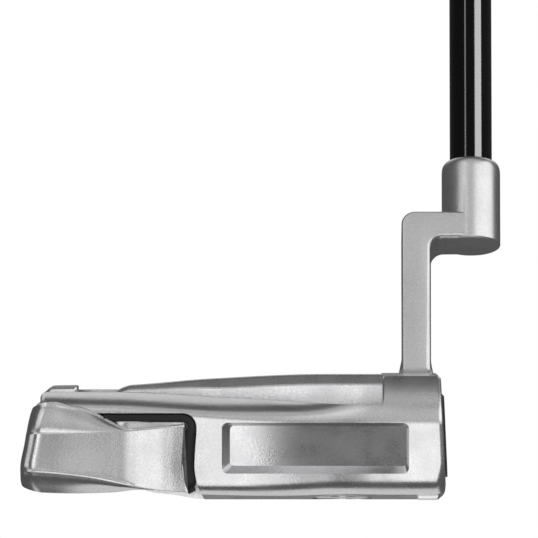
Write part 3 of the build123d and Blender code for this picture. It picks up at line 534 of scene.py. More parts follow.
def head_cutters():
    """Closed shapes that are taken out of the shell: the wings' seats, the windows, the sole
    plate's recess, the two weight ports, the insert's recess, the sight line's groove and the
    hole of the neck's screw."""
    def on_face(outline, depth):
        height = outline[:, 1] + INSERT_Z
        x = FACE_X - depth - FACE_LEAN * (height - FACE_FOOT_Z)
        return np.stack([x, outline[:, 0], height], 1)

    def cutter(outline, axis, start, end, offset):
        return prism(laid(outline, axis, start, offset), laid(outline, axis, end, offset))

    shapes = [shape(sign) for shape in (seat_cutter, window_cutter) for sign in (-1, 1)]
    low, high = box_of("sole_plate")
    outline = round_rectangle((high.x - low.x) / 2 + PLATE_ROOM, high.y + PLATE_ROOM, PLATE_CORNER)
    shapes.append(cutter(outline, 2, BELOW, high.z + 0.02, ((high.x + low.x) / 2, 0.0)))
    for side in ("toe", "heel"):
        low, high = box_of(f"{side}_sole_weight")
        centre = (low.x + high.x) / 2, (low.y + high.y) / 2
        shapes.append(cutter(circle(PORT_R), 2, BELOW, PORT_DEPTH, centre))
    outline = round_rectangle(box_of("face_insert")[1].y + INSERT_ROOM, INSERT_HALF_HEIGHT, INSERT_CORNER)
    shapes.append(prism(on_face(outline, INSERT_DEPTH), on_face(outline, -3.0)))
    low, high = box_of("neck_set_screw")
    centre = (low.y + high.y) / 2, (low.z + high.z) / 2
    shapes.append(cutter(circle(SET_SCREW_R, 32), 0, 30.0, 38.0, centre))
    shapes.append(sight_slab(0.5, 6.0, SIGHT_Y))
    return shapes


def sight_slab(depth, height, half):
    """A slab along the spine's top, from a depth below it to a height above it."""
    xs = np.linspace(SIGHT_REAR_X, SIGHT_FRONT_X, 40)
    outline = np.concatenate([np.stack([xs, spine_z(xs) - depth], 1),
                              np.stack([xs, spine_z(xs) + height], 1)[::-1]])
    return prism(laid(outline, 1, -half), laid(outline, 1, half))


# ---------------------------------------------------------------- wings and dampers

WING_FRONT_X, WING_TOP_Z = -11.0, 17.55
WING_REAR_X, WING_LIMIT_X = -46.75, -47.4     # the last station, and the furthest back that it leans
WING_SCREWS_X, WING_SCREW_Y, WING_SCREW_R, WING_SCREW_Z = (-36.0, -17.0), 33.0, 3.0, 6.6
FIN_FRONT_X = -23.5
WING_SHARP, DAMPER_SHARP = 26.0, 40.0         # degrees
DAMPER_HALF, LEG_EXTRA = 0.84, 0.45           # half the strip's thickness, and what its leg adds

# half widths of the wing's main face and of the fin's foot, by station
main_face_y = along((-46.5, 50.7), (-44, 50.3), (-42, 49.9), (-38, 49.1), (-30, 47.7), (-26, 47.0),
                    (-23.5, 46.6), (-20, 46.35), (-17, 46.35), (-14, 46.52), (-12, 46.72), (-10, 46.95))
fin_y = along((-46.5, 47.5), (-38, 47.1), (-30, 46.75), (-26, 46.5), (FIN_FRONT_X, 46.3))

# heights of the rim, the crease under the fin, the lip's ridge and the foot, by station
wing_rim_z = along((-46, 21.8), (-42.9, 21.9), (-38, 21.1), (-34.5, 20.5), (-31, 19.4), (-27.6, 17.75),
                   (-25.7, 16.8), (-23.9, 15.95), (-16, 16.5), (-10, 17.0))
wing_crease_z = along((-46, 15.1), (-34, 15.0), (-25, 15.4), (-16, 16.2), (-10, 16.8))
wing_ridge_z = along((-46, 6.5), (-40, 6.1), (-32.4, 5.2), (-25.4, 3.8), (-21.5, 2.9), (-15, 2.1),
                     (-10, 1.7))
wing_foot_z = along((-46, 2.1), (-43, 1.7), (-35, 1.5), (-26.8, 1.7), (-21.2, 2.3), (-10, 1.6))

# where the wing's rear end lies, by height
wing_rear_x = along((1.6, -45.9), (2.8, -46.9), (4.6, -47.35), (7.0, -47.4), (12.7, -46.45),
                    (17.4, -45.6), (20.5, -44.7), (22.0, -43.7))


def wing_section(x0, inset):
    """The wing's outline at a station, from the inner top round the outside to the inner foot:
    rim of the fin, hollow fin, ledge, upright main face, lip, lower bevel and foot. An inset
    draws it in for the rear edge's bevel."""
    main_y = main_face_y(x0) - inset
    fin_foot_y = fin_y(x0) - inset if x0 < FIN_FRONT_X else main_y - 0.3
    rim_z = wing_rim_z(x0) - 0.5 * inset
    crease_z, ridge_z = wing_crease_z(x0), wing_ridge_z(x0)
    foot_z = wing_foot_z(x0) + 0.4 * inset
    fin = ease((-22.5 - x0) / 9.0)
    lip = ease((ridge_z - foot_z) / 2.4)
    rim_y = fin_foot_y - 2.1 * fin + 0.4 * inset
    back_y = rim_y - 0.6 - 0.4 * fin
    inner = SEAT_INNER_Y + 0.3 + inset
    foot_y = main_y - 0.6 - 1.7 * lip
    drop = min(0.7, 0.5 * max(rim_z - crease_z, 0.1))
    t = np.linspace(0, 1, 12)
    hollow = np.stack([rim_y + 0.03 + (fin_foot_y - rim_y - 0.03) * (1 - (1 - t) ** 1.8),
                       rim_z - drop + (crease_z - rim_z + drop) * t], 1)
    upper = [np.array([(inner, WING_TOP_Z), (back_y - 0.4, WING_TOP_Z),
                       (back_y, max(WING_TOP_Z - 0.08, rim_z - 0.6)),
                       (back_y + 0.2, max(WING_TOP_Z - 0.35, rim_z)),
                       (rim_y - 0.25, rim_z + 0.02), (rim_y - 0.07, rim_z - 0.15 * drop)]),
             hollow,
             np.array([(main_y - 0.12, crease_z - 0.06), (main_y, crease_z - 0.3)])]
    face = bezier((main_y, crease_z - 0.5), (main_y - 0.1, crease_z - 4.0),
                  (main_y - 0.15, ridge_z + 3.0), (main_y - 0.12, ridge_z + 1.0 * lip + 0.05), 14)
    edge = np.array([(main_y - 0.04, ridge_z + 0.5 * lip), (main_y + 0.22 * lip, ridge_z + 0.16 * lip),
                     (main_y + 0.26 * lip, ridge_z), (main_y + 0.14 * lip, ridge_z - 0.12 * lip),
                     (main_y - 0.14, ridge_z - 0.2 * lip)])
    lower = bezier((main_y - 0.18, ridge_z - 0.34 * lip - 0.02), (main_y - 0.3, ridge_z - 1.6 * lip - 0.1),
                   (foot_y + 0.6, foot_z + 0.9 * lip), (foot_y, foot_z), 10)
    return np.concatenate(upper + [face, edge, lower, np.array([(inner, foot_z)])])


def make_wing(side, sign):
    """Sections of the wing carried from the damper to the rear, where they lean back and the
    outer edge is bevelled off."""
    edge = 3.4
    turn = np.radians(np.linspace(0, 82, 12))[1:]
    level = np.linspace(WING_FRONT_X - 0.25, edge + WING_REAR_X, 56)
    stations = [WING_FRONT_X, *level, *(edge + WING_REAR_X - edge * np.sin(turn))]
    insets = [0.15, *(0 * level), *(edge * (1 - np.cos(turn)))]
    rings = []
    for x0, inset in zip(stations, insets):
        section = wing_section(x0, inset)
        z = section[:, 1]
        x = x0 + (wing_rear_x(z) - WING_REAR_X) * ease((-24.0 - x0) / 22.0)
        x = x + seat_bow(z) * ease((x0 + 17.0) / 6.4)
        rings.append(np.stack([np.maximum(x, WING_LIMIT_X), sign * section[:, 0], z], 1))
    wing = tube_mesh(f"{side}_rear_wing", np.stack(rings), sharp_angle=WING_SHARP)
    holes = [prism(*(laid(circle(WING_SCREW_R, 40), 2, z, (x, sign * WING_SCREW_Y))
                     for z in (-1.0, WING_SCREW_Z))) for x in WING_SCREWS_X]
    combine(wing, holes, "DIFFERENCE", folds=True)
    set_sharp(wing, WING_SHARP)
    return wing


def damper_path():
    """The damper's middle line in X and Z: back along the seat's ceiling, round its corner and
    down its front wall, where it bows back and then sweeps forward to the sole."""
    corner_x, corner_z, radius = SEAT_FRONT_X - SEAT_CORNER, SEAT_TOP_Z - SEAT_CORNER, SEAT_CORNER - 1.05
    level = np.stack([np.linspace(-42.4, corner_x, 24), np.full(24, corner_z + radius)], 1)
    bend = on_circle((corner_x, corner_z), radius, np.linspace(math.pi / 2, 0, 14)[1:])
    z = np.linspace(corner_z, 1.7, 26)[1:]
    x = (corner_x + radius + seat_bow(z) - LEG_EXTRA * ease((corner_z - z) / 2.0)
         - 0.35 * ease((4.2 - z) / 2.2))
    return np.concatenate([level, bend, np.stack([x, z], 1)])


def make_damper(side, sign):
    """A rounded strip carried along the damper's path, as wide as the seat is deep. It is 1.7 mm
    thick under the ceiling and 2.6 mm down the front wall, and thins out at the sole."""
    path = damper_path()
    along = np.gradient(path, axis=0)
    along /= np.linalg.norm(along, axis=1, keepdims=True)
    across = np.stack([-along[:, 1], along[:, 0]], 1)
    outer = np.array([float(np.interp(z, *outer_profile(x))) for x, z in path]) + 0.02
    outer = outer - 3.6 * ease((-29.5 - path[:, 0]) / 1.5)
    inner = SEAT_INNER_Y + 0.02
    down = ease((SEAT_TOP_Z - SEAT_CORNER - path[:, 1]) / 2.0)
    half = DAMPER_HALF + LEG_EXTRA * down - LEG_EXTRA * ease((4.2 - path[:, 1]) / 2.2)
    corner = np.array([(-1, 0.0), (-1, 0.75), (-0.74, 0.97), (0.74, 0.97), (1, 0.75), (1, 0.0)])
    share = np.array([0.0, 1.0, 1.0, 1.0, 1.0, 0.0])
    drop = np.array([0.0, 0.25, 0.0, 0.0, 0.25, 0.0])
    xz = path[:, None] + across[:, None] * (half[:, None] * corner[:, 0])[..., None]
    y = inner + (outer - inner)[:, None] * share - drop
    rings = np.stack([xz[..., 0], sign * y, xz[..., 1]], 2)
    return tube_mesh(f"{side}_damper_strip", rings, sharp_angle=DAMPER_SHARP)


def outer_profile(x):
    """Heights and half widths of the head's side at x, in rising order, for reading one off."""
    curve = outer_curve(float(x), False)
    curve = curve[curve[:, 0] > 38.0]
    order = np.argsort(curve[:, 1])
    return curve[order, 1], curve[order, 0]


# ---------------------------------------------------------------- neck

LEG = (37.6, 44.2)                            # rear and front
ARM = (30.3, 36.5)                            # low and high
NECK_FOOT, NECK_SHARP = -3.0, 40.0            # where the leg starts below the deck; degrees
ELBOW, BARREL_R, BARREL_TOP, BORE_R = 3.0, 6.6, 50.0, 4.86
FOOT_HALF_DEPTH, ARM_HALF_DEPTH = 4.8, 6.45


def neck_edges():
    """The neck's two edges in X and height: the outer one over the elbow, the inner one under it."""
    turn = np.linspace(0, math.pi / 2, 15)[1:]
    foot = np.linspace(NECK_FOOT, 2.5, 12)
    leg = np.concatenate([foot, np.linspace(4.0, 26.0, 16)])
    share = (leg - NECK_FOOT) / (26.0 - NECK_FOOT)
    outer, inner = ([np.stack([np.full(len(leg), x), NECK_FOOT + share * (v - ELBOW - NECK_FOOT)], 1)]
                    for x, v in zip(LEG, ARM[::-1]))
    outer[0][:len(foot), 1] = inner[0][:len(foot), 1] = foot
    outer.append(np.stack([LEG[0] + ELBOW * (1 - np.cos(turn)), ARM[1] - ELBOW + ELBOW * np.sin(turn)], 1))
    inner.append(np.stack([LEG[1] + ELBOW * (1 - np.cos(turn)), ARM[0] - ELBOW + ELBOW * np.sin(turn)], 1))
    reach = np.linspace(0, 1, 26)[1:, None]
    for edge in (outer, inner):
        end = np.array([SHAFT_X - 0.4, edge[-1][-1, 1]])
        edge.append(edge[-1][-1] + (end - edge[-1][-1]) * reach)
    return np.concatenate(outer), np.concatenate(inner)


def neck_half_depth(x, v):
    """Half the neck's depth: it swells up the leg, and the arm's flat sides run on as tangents
    to the barrel, inside which they end."""
    swell = FOOT_HALF_DEPTH + (ARM_HALF_DEPTH - FOOT_HALF_DEPTH) * ease((v - 2.0) / 24.0)
    barrel = np.sqrt(np.clip((BARREL_R - 0.03) ** 2 - (x - SHAFT_X) ** 2, 0, None))
    return np.where(x > SHAFT_X - 1.2, np.minimum(barrel, ARM_HALF_DEPTH), swell)


def make_neck():
    """A rounded rectangle between the neck's two edges, carried up the leg and along the arm,
    with a small flare at its foot, joined to the turned barrel."""
    outer, inner = neck_edges()
    middle, half = (outer + inner) / 2, (inner - outer) / 2
    width = np.linalg.norm(half, axis=1)
    rounding, flare_height, flare_width = 1.15, 1.3, 0.65
    steps = 7
    turn = np.linspace(0, math.pi / 2, steps) + np.arange(4)[:, None] * math.pi / 2
    along_n, deep_n = np.cos(turn).ravel(), np.sin(turn).ravel()
    across, deep = np.repeat([1.0, -1.0, -1.0, 1.0], steps), np.repeat([1.0, 1.0, -1.0, -1.0], steps)
    keep = np.where(across > 0, 1.0, 0.55)
    offset = across[None] * (width[:, None] - rounding * keep) + along_n[None] * rounding * keep
    centre = middle[:, None] + (half / width[:, None])[:, None] * offset[..., None]
    depth = neck_half_depth(centre[..., 0], centre[..., 1])
    w = deep[None] * (depth - rounding * keep) + deep_n[None] * rounding * keep
    world = neck_frame(np.stack([centre[..., 0], w, centre[..., 1]], 2))
    rise = (world[..., 2] - DECK_Z) / flare_height
    flare = flare_width * (1 - np.clip(rise, 0, 1)) ** 2
    world[..., 0] += along_n[None] * flare
    world[..., 1] += deep_n[None] * flare
    world[..., 2] = np.maximum(world[..., 2], DECK_Z - 1.0)
    neck = tube_mesh("plumbers_neck", world, sharp_angle=NECK_SHARP)
    low = ARM[0] - 0.01
    profile = rounded_profile([(0, low), (BARREL_R, low), (BARREL_R, BARREL_TOP),
                               (BORE_R, BARREL_TOP + 0.05)], (0.45, 2.6), 12)
    profile = np.concatenate([profile, [(BORE_R, BARREL_TOP - 3.0), (0.0, BARREL_TOP - 3.0)]])
    boolean(neck, turned("neck_barrel", profile), "UNION")
    set_sharp(neck, NECK_SHARP)
    return neck


# ---------------------------------------------------------------- shaft and grip

GRIP_LENGTH, CAP_LENGTH, GRIP_SHARP = 267.0, 3.2, 50.0
GRIP_END = (12.95, 10.9, 17.3)                # half width, flat side and back at the cap
VENT_R = 1.6


def make_shaft():
    """The shaft's outside turned about its axis: a straight tip, nine small flared steps and a
    straight butt that goes up inside the grip."""
    tip, butt, steps, first, spacing = 4.75, 7.35, 9, 260.0, 30.0
    low, high = 33.0, BUTT_V - CAP_LENGTH
    rise = (butt - tip) / steps
    profile = [(0.0, low), (tip, low)]
    for step in range(steps):
        radius, v = tip + rise * step, low + first + spacing * step
        profile += [(radius, v), (radius + 0.1 * rise, v + 0.25), (radius + 0.9 * rise, v + 0.85),
                    (radius + rise, v + 1.1)]
    profile += [(butt, high), (0.0, high)]
    return turned("stepped_shaft", profile)


def grip_outline(half_width, flat, back):
    """A pistol grip's section: a rounded flat on the toe side and a fuller round at the back.
    Each half is a squared-off ellipse, with exponent 3.2 on the flat and 2.1 at the back."""
    a = np.linspace(0, 2 * math.pi, ROUND_POINTS, endpoint=False)
    c, s = np.cos(a), np.sin(a)
    power = np.where(s < 0, 3.2, 2.1)
    depth = np.where(s < 0, flat, back)
    return np.stack([half_width * np.sign(c) * np.abs(c) ** (2 / power),
                     depth * np.sign(s) * np.abs(s) ** (2 / power)], 1)


def make_grip_skin():
    """Sections of the grip from its mouth to its cap, which swell smoothly to the pistol back."""
    mouth, top = BUTT_V - GRIP_LENGTH, BUTT_V - CAP_LENGTH
    share = np.concatenate([[0.0, 0.0, 0.004, 0.012], np.linspace(0.03, 0.985, 110), [0.995, 1.0, 1.0]])
    half = smooth_curve(share, [(0, 9.9), (0.28, 11.1), (0.55, 11.9), (0.8, 12.5), (1, GRIP_END[0])])
    flat = smooth_curve(share, [(0, 9.5), (0.28, 10.1), (0.55, 10.5), (0.8, 10.7), (1, GRIP_END[1])])
    back = smooth_curve(share, [(0, 10.0), (0.28, 11.7), (0.55, 13.4), (0.8, 16.2), (1, GRIP_END[2])])
    trim = np.zeros(len(share))
    trim[0], trim[1], trim[2] = 2.45, 0.9, 0.3
    trim[-3:] = 0.1, 0.6, 6.0
    rings = [laid(grip_outline(h - t, f - t, b - t), 2, mouth + s * (top - mouth))
             for s, h, f, b, t in zip(share, half, flat, back, trim)]
    return tube_mesh("grip_skin", shaft_frame(np.stack(rings)), sharp_angle=GRIP_SHARP)


def make_grip_end():
    """The cap: the grip's last section, rounded over to a dished end with the vent in its middle."""
    low = BUTT_V - CAP_LENGTH
    outline = grip_outline(*GRIP_END)
    size = np.hypot(*outline.T)[:, None]
    steps = [(0.3, 0.02), (1.0, 0.0), (1.0, 1.2), (0.985, 2.3), (0.95, 2.9), (0.9, 3.2), (0.8, 3.2),
             (0.78, 2.9), (0.4, 2.85)]
    rings = [laid(outline * share, 2, low + rise) for share, rise in steps]
    for radius, rise in ((3.0, 2.85), (2.0, 2.85), (VENT_R, 2.6), (VENT_R, -2.0), (0.0, -2.0)):
        rings.append(laid(outline * radius / size, 2, low + rise))
    return tube_mesh("grip_end_cap", shaft_frame(np.stack(rings)), sharp_angle=GRIP_SHARP)


# ---------------------------------------------------------------- finishes

MIX_SHARE, MIX_A, MIX_B, MIX_RESULT = 0, 6, 7, 2    # the Mix node's sockets for colours


def new_material(name, colour, metallic, roughness):
    """A material and its shader, with an even colour and roughness to start from."""
    material = bpy.data.materials.new(name)
    material.use_nodes = True
    shader = material.node_tree.nodes["Principled BSDF"]
    shader.inputs["Base Color"].default_value = (*colour, 1.0)
    shader.inputs["Metallic"].default_value = metallic
    shader.inputs["Roughness"].default_value = roughness
    material.diffuse_color = (*colour, 1.0)
    return material, shader


def add_node(material, kind, values, sources):
    """A shader node with values on some of its inputs and other nodes' outputs on the rest."""
    tree = material.node_tree
    node = tree.nodes.new(f"ShaderNode{kind}")
    for name, value in values.items():
        node.inputs[name].default_value = value
    for name, source in sources.items():
        tree.links.new(source, node.inputs[name])
    return node


def object_noise(material, scale, detail=3.0):
    """Noise on the piece's own coordinates, in features of about 1/scale metres."""
    place = add_node(material, "TexCoord", {}, {}).outputs["Object"]
    noise = add_node(material, "TexNoise", {"Scale": scale, "Detail": detail}, {"Vector": place})
    return noise.outputs["Fac"]


def ramp_between(material, source, low, high, start=0.3, end=0.7):
    """A value that goes from low to high while the source goes from start to end."""
    ends = {"From Min": start, "From Max": end, "To Min": low, "To Max": high}
    return add_node(material, "MapRange", ends, {"Value": source}).outputs["Result"]


def colour_between(material, source, low, high, start=0.3, end=0.7):
    """A colour that goes from low to high while the source goes from start to end."""
    mix = material.node_tree.nodes.new("ShaderNodeMix")
    mix.data_type = "RGBA"
    mix.inputs[MIX_A].default_value, mix.inputs[MIX_B].default_value = (*low, 1.0), (*high, 1.0)
    share = ramp_between(material, source, 0.0, 1.0, start, end)
    material.node_tree.links.new(share, mix.inputs[MIX_SHARE])
    return mix.outputs[MIX_RESULT]


def add_bump(material, shader, source, strength, distance):
    """Small relief whose height follows the source, up to a distance in metres."""
    bump = add_node(material, "Bump", {"Strength": strength, "Distance": distance}, {"Height": source})
    material.node_tree.links.new(bump.outputs["Normal"], shader.inputs["Normal"])


def add_grain(material, shader, colour, spread, fine, slow, roughness, grain, depth):
    """The tone spreads both ways and the relief rises with the fine noise, and the roughness
    goes between two values with the slow one."""
    links = material.node_tree.links
    dark = tuple(c * (1 - spread) for c in colour)
    light = tuple(min(1.0, c * (1 + spread)) for c in colour)
    links.new(colour_between(material, fine, dark, light), shader.inputs["Base Color"])
    links.new(ramp_between(material, slow, *roughness), shader.inputs["Roughness"])
    add_bump(material, shader, fine, grain, depth)


def satin_metal(name, colour, roughness, grain=0.6):
    """Bead-blasted metal: a fine grain in tone and bump, and slow changes of roughness."""
    material, shader = new_material(name, colour, 1.0, roughness)
    fine, slow = object_noise(material, 2600.0, 2.0), object_noise(material, 160.0)
    add_grain(material, shader, colour, 0.08, fine, slow, (roughness - 0.03, roughness + 0.04),
              grain, 0.00003)
    return material


def plain_finish(name, colour, metallic, roughness, scale, grain, spread=0.12):
    """A moulded, painted or turned finish: a little grain in tone, roughness and bump."""
    material, shader = new_material(name, colour, metallic, roughness)
    noise = object_noise(material, scale)
    add_grain(material, shader, colour, spread, noise, noise,
              (max(0.02, roughness - 0.04), roughness + 0.04), grain, 0.00005)
    return material


def gloss_black(name):
    """Black gloss paint with a faint orange peel."""
    material, shader = new_material(name, (0.0015, 0.0015, 0.0016), 0.0, 0.09)
    add_bump(material, shader, object_noise(material, 420.0, 1.0), 0.04, 0.00002)
    return material


def grip_rubber(name):
    """Matt rubber with rows of small moulded dimples that follow the grip's length, with painted shade
    that darkens each dimple towards its hollow.
    """
    material, shader = new_material(name, (0.02, 0.02, 0.022), 0.0, 0.72)
    place = add_node(material, "TexCoord", {}, {}).outputs["Object"]
    cells = add_node(material, "TexVoronoi", {"Scale": 620.0, "Randomness": 0.15}, {"Vector": place})
    apart = cells.outputs["Distance"]
    # painted shade: the rubber's colour darkens towards the bottom of each dimple, following the same
    # distance as its relief
    tone = colour_between(material, apart, (0.012, 0.012, 0.013), (0.032, 0.032, 0.034), 0.0, 0.6)
    material.node_tree.links.new(tone, shader.inputs["Base Color"])
    add_bump(material, shader, apart, 0.6, 0.0004)
    return material


def make_finishes():
    """One material for each slot; the head, neck and wings share the metal's tone."""
    metal = tuple(bpy.context.scene.putter_finish.metal_colour)
    rough = bpy.context.scene.putter_finish.metal_roughness
    return {
        "satin_head": satin_metal("satin_head", metal, rough),
        "satin_steel": satin_metal("satin_neck", tuple(c * 0.97 for c in metal), rough + 0.05, 0.35),
        "wing_steel": satin_metal("brushed_wing", tuple(c * 0.95 for c in metal), rough - 0.02, 0.5),
        "black_polymer": plain_finish("black_polymer", (0.010, 0.010, 0.011), 0.0, 0.45, 1500.0, 0.3),
        "insert_polymer": plain_finish("insert_polymer", (0.035, 0.035, 0.038), 0.0, 0.5, 2600.0, 0.4),
        "dark_screws": plain_finish("dark_screws", (0.10, 0.10, 0.105), 1.0, 0.35, 1800.0, 0.3),
        "weight_steel": plain_finish("weight_steel", (0.58, 0.58, 0.59), 1.0, 0.26, 2400.0, 0.3, 0.05),
        "black_shaft": gloss_black("gloss_black_paint"),
        "grip_rubber": grip_rubber("grip_rubber"),
        "grip_foam": plain_finish("grip_foam", (0.09, 0.09, 0.09), 0.0, 0.85, 900.0, 0.6),
        "core_foam": plain_finish("core_foam", (0.72, 0.66, 0.48), 0.0, 0.9, 700.0, 0.8),
        "tape": plain_finish("double_sided_tape", (0.78, 0.75, 0.64), 0.0, 0.6, 1200.0, 0.3),
        "glue": plain_finish("cured_glue", (0.5, 0.46, 0.34), 0.0, 0.3, 500.0, 0.2),
        "sight_paint": plain_finish("sight_paint", (0.012, 0.012, 0.012), 0.0, 0.4, 1400.0, 0.3),
        "dark_plate": plain_finish("dark_plate", (0.06, 0.06, 0.063), 1.0, 0.42, 2600.0, 0.4),
    }


FINISHES = {}


def finish(slot):
    """A slot's material; all of them are made when the first is asked for."""
    if not FINISHES:
        FINISHES.update(make_finishes())
    return FINISHES[slot]


# ---------------------------------------------------------------- stage

LAMP_DISTANCE, LAMP_AIM = 1.5, (0.01, 0.0, 0.03)
BACKDROP_TONE, ROOM_TONE = 1.0, 0.09

# name, azimuth and elevation, width and height, all in degrees, radiance and any own distance
HEAD_LAMPS = (
    ("right_strip", 64.0, 30.0, 74.0, 40.0, 1.12),
    ("left_strip", -40.0, 36.0, 30.0, 40.0, 0.65),
    ("front_core", 0.0, -4.0, 24.0, 30.0, 0.95),
    ("front_glow", 7.0, -4.0, 34.0, 38.0, 0.34),
    ("front_upper", 0.0, 38.0, 50.0, 40.0, 0.4),
    ("high_front", 0.0, 72.0, 60.0, 20.0, 0.42),
    ("behind", 180.0, 38.0, 70.0, 36.0, 0.6),
    ("left_low", -60.0, -2.0, 40.0, 26.0, 0.75),
    ("from_below", 0.0, -90.0, 82.0, 82.0, 0.58, 0.085),
)
SHAFT_LAMPS = (
    ("shaft_wide", 50.0, 20.0, 34.0, 80.0, 12.0),
    ("shaft_thin", -35.0, 20.0, 6.0, 80.0, 5.0),
)


def make_floor(drop):
    """A pale floor, a little below the sole, as the club is held by its grip. The metal doesn't
    mirror it."""
    half = 3.2
    mesh = bpy.data.meshes.new("floor")
    mesh.from_pydata([(x * half, y * half, -drop) for x, y in ((-1, -1), (1, -1), (1, 1), (-1, 1))],
                     [], [(0, 1, 2, 3)])
    floor = bpy.data.objects.new("floor", mesh)
    bpy.context.scene.collection.objects.link(floor)
    mesh.materials.append(new_material("pale_floor", (0.8, 0.8, 0.8), 0.0, 0.9)[0])
    floor.visible_glossy = False


def face_away(obj, target, away, distance):
    """Puts a lamp or camera at a distance from its target and turns it to look back at it."""
    obj.location = target + away * distance
    obj.rotation_euler = away.to_track_quat("Z", "Y").to_euler()
    bpy.context.scene.collection.objects.link(obj)


def make_light(name, azimuth, elevation, across, up, radiance, distance=LAMP_DISTANCE):
    """A soft rectangular lamp that fills an angle round the head. Azimuth 0 is in front of the
    toe, towards -Y, and 90 is beyond the face. The camera doesn't see it."""
    data = bpy.data.lights.new(name, "AREA")
    data.shape = "RECTANGLE"
    data.size = 2 * distance * math.tan(math.radians(across / 2))
    data.size_y = 2 * distance * math.tan(math.radians(up / 2))
    data.energy = radiance * math.pi * data.size * data.size_y
    lamp = bpy.data.objects.new(name, data)
    a, e = math.radians(azimuth), math.radians(elevation)
    away = Vector((math.sin(a) * math.cos(e), -math.cos(a) * math.cos(e), math.sin(e)))
    face_away(lamp, Vector(LAMP_AIM), away, distance)
    lamp.visible_camera = False
    return lamp


def link_lamp(lamp, piece, state):
    """Lets a lamp light only one piece, or every piece but it."""
    group = bpy.data.collections.new(f"{lamp.name}_pieces")
    group.objects.link(bpy.data.objects[piece])
    lamp.light_linking.receiver_collection = group
    for item in group.collection_objects:
        item.light_linking.link_state = state


def make_world(seen, around):
    """Pale surroundings: one even tone behind the object, and a dimmer one for reflections."""
    world = bpy.data.worlds.new("pale_room")
    bpy.context.scene.world = world
    world.use_nodes = True
    nodes, links = world.node_tree.nodes, world.node_tree.links
    nodes.clear()
    path = nodes.new("ShaderNodeLightPath")
    room, backdrop = nodes.new("ShaderNodeBackground"), nodes.new("ShaderNodeBackground")
    room.inputs["Color"].default_value = (around, around, around, 1.0)
    backdrop.inputs["Color"].default_value = (seen, seen, seen, 1.0)
    mix, out = nodes.new("ShaderNodeMixShader"), nodes.new("ShaderNodeOutputWorld")
    links.new(path.outputs["Is Camera Ray"], mix.inputs[0])
    links.new(room.outputs[0], mix.inputs[1])
    links.new(backdrop.outputs[0], mix.inputs[2])
    links.new(mix.outputs[0], out.inputs["Surface"])


def make_camera(stage):
    """A long lens, nearly level with the middle of the neck, square on to the toe."""
    target = Vector((stage.target_x, 0.0, stage.target_z))
    rise = math.radians(stage.elevation)
    data = bpy.data.cameras.new("camera")
    data.lens = data.sensor_width * stage.distance / stage.field
    data.clip_start, data.clip_end = 0.05, 60.0
    camera = bpy.data.objects.new("camera", data)
    face_away(camera, target, Vector((0.0, -math.cos(rise), math.sin(rise))), stage.distance)
    bpy.context.scene.camera = camera


# ---------------------------------------------------------------- add-on

def length(name, description, default):
    """A length that a user can change, in metres."""
    return FloatProperty(name=name, description=description, default=default, subtype="DISTANCE",
                         unit="LENGTH")


class PutterFinish(bpy.types.PropertyGroup):
    metal_colour: FloatVectorProperty(
        name="Metal colour", description="Tone of the satin metal of the head and neck",
        subtype="COLOR", size=3, min=0.0, max=1.0, default=(0.80, 0.80, 0.81))
    metal_roughness: FloatProperty(
        name="Metal roughness", description="How soft the reflections in the satin metal are",
        subtype="FACTOR", min=0.05, max=1.0, default=0.28)


class PutterStage(bpy.types.PropertyGroup):
    target_x: length("Target X", "Where the camera looks, out of the face", 0.00777)
    target_z: length("Target Z", "Where the camera looks, above the ground", 0.05115)
    field: length("Field", "Width of the view at the head's middle", 0.1204)
    distance: length("Distance", "From the camera to the head's middle", 5.0)
    elevation: FloatProperty(name="Elevation", description="The camera's height angle, in degrees",
                             default=0.15)
    floor_drop: length("Floor drop", "How far the floor is below the sole", 0.06)


class PUTTER_OT_head(bpy.types.Operator):
    """Make the head's shell with its deck, pockets, windows and sole"""
    bl_idname = "putter.head"
    bl_label = "Head"

    def execute(self, context):
        put(make_head_shell(), "satin_head", "head_body")
        line = make_mesh("sight_paint_line", *sight_slab(0.48, -0.12, SIGHT_Y - 0.02))
        put(line, "sight_paint", "sight_line")
        return {"FINISHED"}


class PUTTER_OT_wings(bpy.types.Operator):
    """Make the rear wings and the damper strips in front of them"""
    bl_idname = "putter.wings"
    bl_label = "Wings and dampers"

    def execute(self, context):
        for side, sign in (("toe", -1), ("heel", 1)):
            put(make_wing(side, sign), "wing_steel", f"{side}_wing_weight")
            put(make_damper(side, sign), "black_polymer", f"{side}_damper")
        return {"FINISHED"}


class PUTTER_OT_neck(bpy.types.Operator):
    """Make the plumber's neck with its barrel"""
    bl_idname = "putter.neck"
    bl_label = "Neck"

    def execute(self, context):
        put(make_neck(), "satin_steel", "hosel_neck")
        return {"FINISHED"}


class PUTTER_OT_shaft(bpy.types.Operator):
    """Make the stepped shaft"""
    bl_idname = "putter.shaft"
    bl_label = "Shaft"

    def execute(self, context):
        put(make_shaft(), "black_shaft", "shaft")
        return {"FINISHED"}


class PUTTER_OT_grip(bpy.types.Operator):
    """Make the grip's skin and its end cap"""
    bl_idname = "putter.grip"
    bl_label = "Grip"

    def execute(self, context):
        put(make_grip_skin(), "grip_rubber", "grip_sleeve")
        put(make_grip_end(), "black_polymer", "grip_cap")
        return {"FINISHED"}


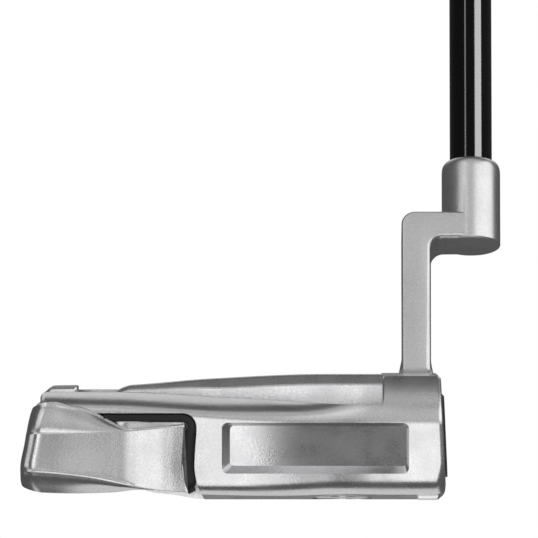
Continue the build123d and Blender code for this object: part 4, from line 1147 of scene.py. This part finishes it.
class PUTTER_OT_small_parts(bpy.types.Operator):
    """Give every piece that comes as it is from the frame its finish"""
    bl_idname = "putter.small_parts"
    bl_label = "Small parts"

    def execute(self, context):
        slots = {part["node"]: part["material_slot"] for part in frame["record"]["subparts"]}
        for name, node in frame["nodes"].items():
            node.data.materials.clear()
            node.data.materials.append(finish(slots[name]))
        return {"FINISHED"}


class PUTTER_OT_stage(bpy.types.Operator):
    """Make the floor, the lamps, the surroundings and the camera"""
    bl_idname = "putter.stage"
    bl_label = "Stage"

    def execute(self, context):
        context.scene.view_settings.view_transform = "Standard"
        make_floor(context.scene.putter_stage.floor_drop)
        make_world(BACKDROP_TONE, ROOM_TONE)
        for lamps, state in ((HEAD_LAMPS, "EXCLUDE"), (SHAFT_LAMPS, "INCLUDE")):
            for lamp in lamps:
                link_lamp(make_light(*lamp), "stepped_shaft", state)
        make_camera(context.scene.putter_stage)
        return {"FINISHED"}


class PUTTER_PT_panel(bpy.types.Panel):
    bl_idname = "PUTTER_PT_panel"
    bl_label = "Mallet putter"
    bl_space_type = "VIEW_3D"
    bl_region_type = "UI"
    bl_category = "Putter"

    def draw(self, context):
        for group in (context.scene.putter_finish, context.scene.putter_stage):
            for name in group.bl_rna.properties.keys():
                if name not in ("rna_type", "name"):
                    self.layout.prop(group, name)
        for operator in OPERATORS:
            self.layout.operator(operator.bl_idname)


OPERATORS = (PUTTER_OT_head, PUTTER_OT_wings, PUTTER_OT_neck, PUTTER_OT_shaft, PUTTER_OT_grip,
             PUTTER_OT_small_parts, PUTTER_OT_stage)
CLASSES = (PutterFinish, PutterStage, *OPERATORS, PUTTER_PT_panel)


def register():
    """Adds the classes and the scene's two groups of settings."""
    for cls in CLASSES:
        bpy.utils.register_class(cls)
    bpy.types.Scene.putter_finish = PointerProperty(type=PutterFinish)
    bpy.types.Scene.putter_stage = PointerProperty(type=PutterStage)


def unregister():
    """Takes out what register added."""
    del bpy.types.Scene.putter_stage
    del bpy.types.Scene.putter_finish
    for cls in reversed(CLASSES):
        bpy.utils.unregister_class(cls)


def main():
    """Registers the add-on, then makes every piece and the stage in order."""
    register()
    for operator in OPERATORS:
        group, name = operator.bl_idname.split(".")
        getattr(getattr(bpy.ops, group), name)()


if __name__ == "__main__":
    main()
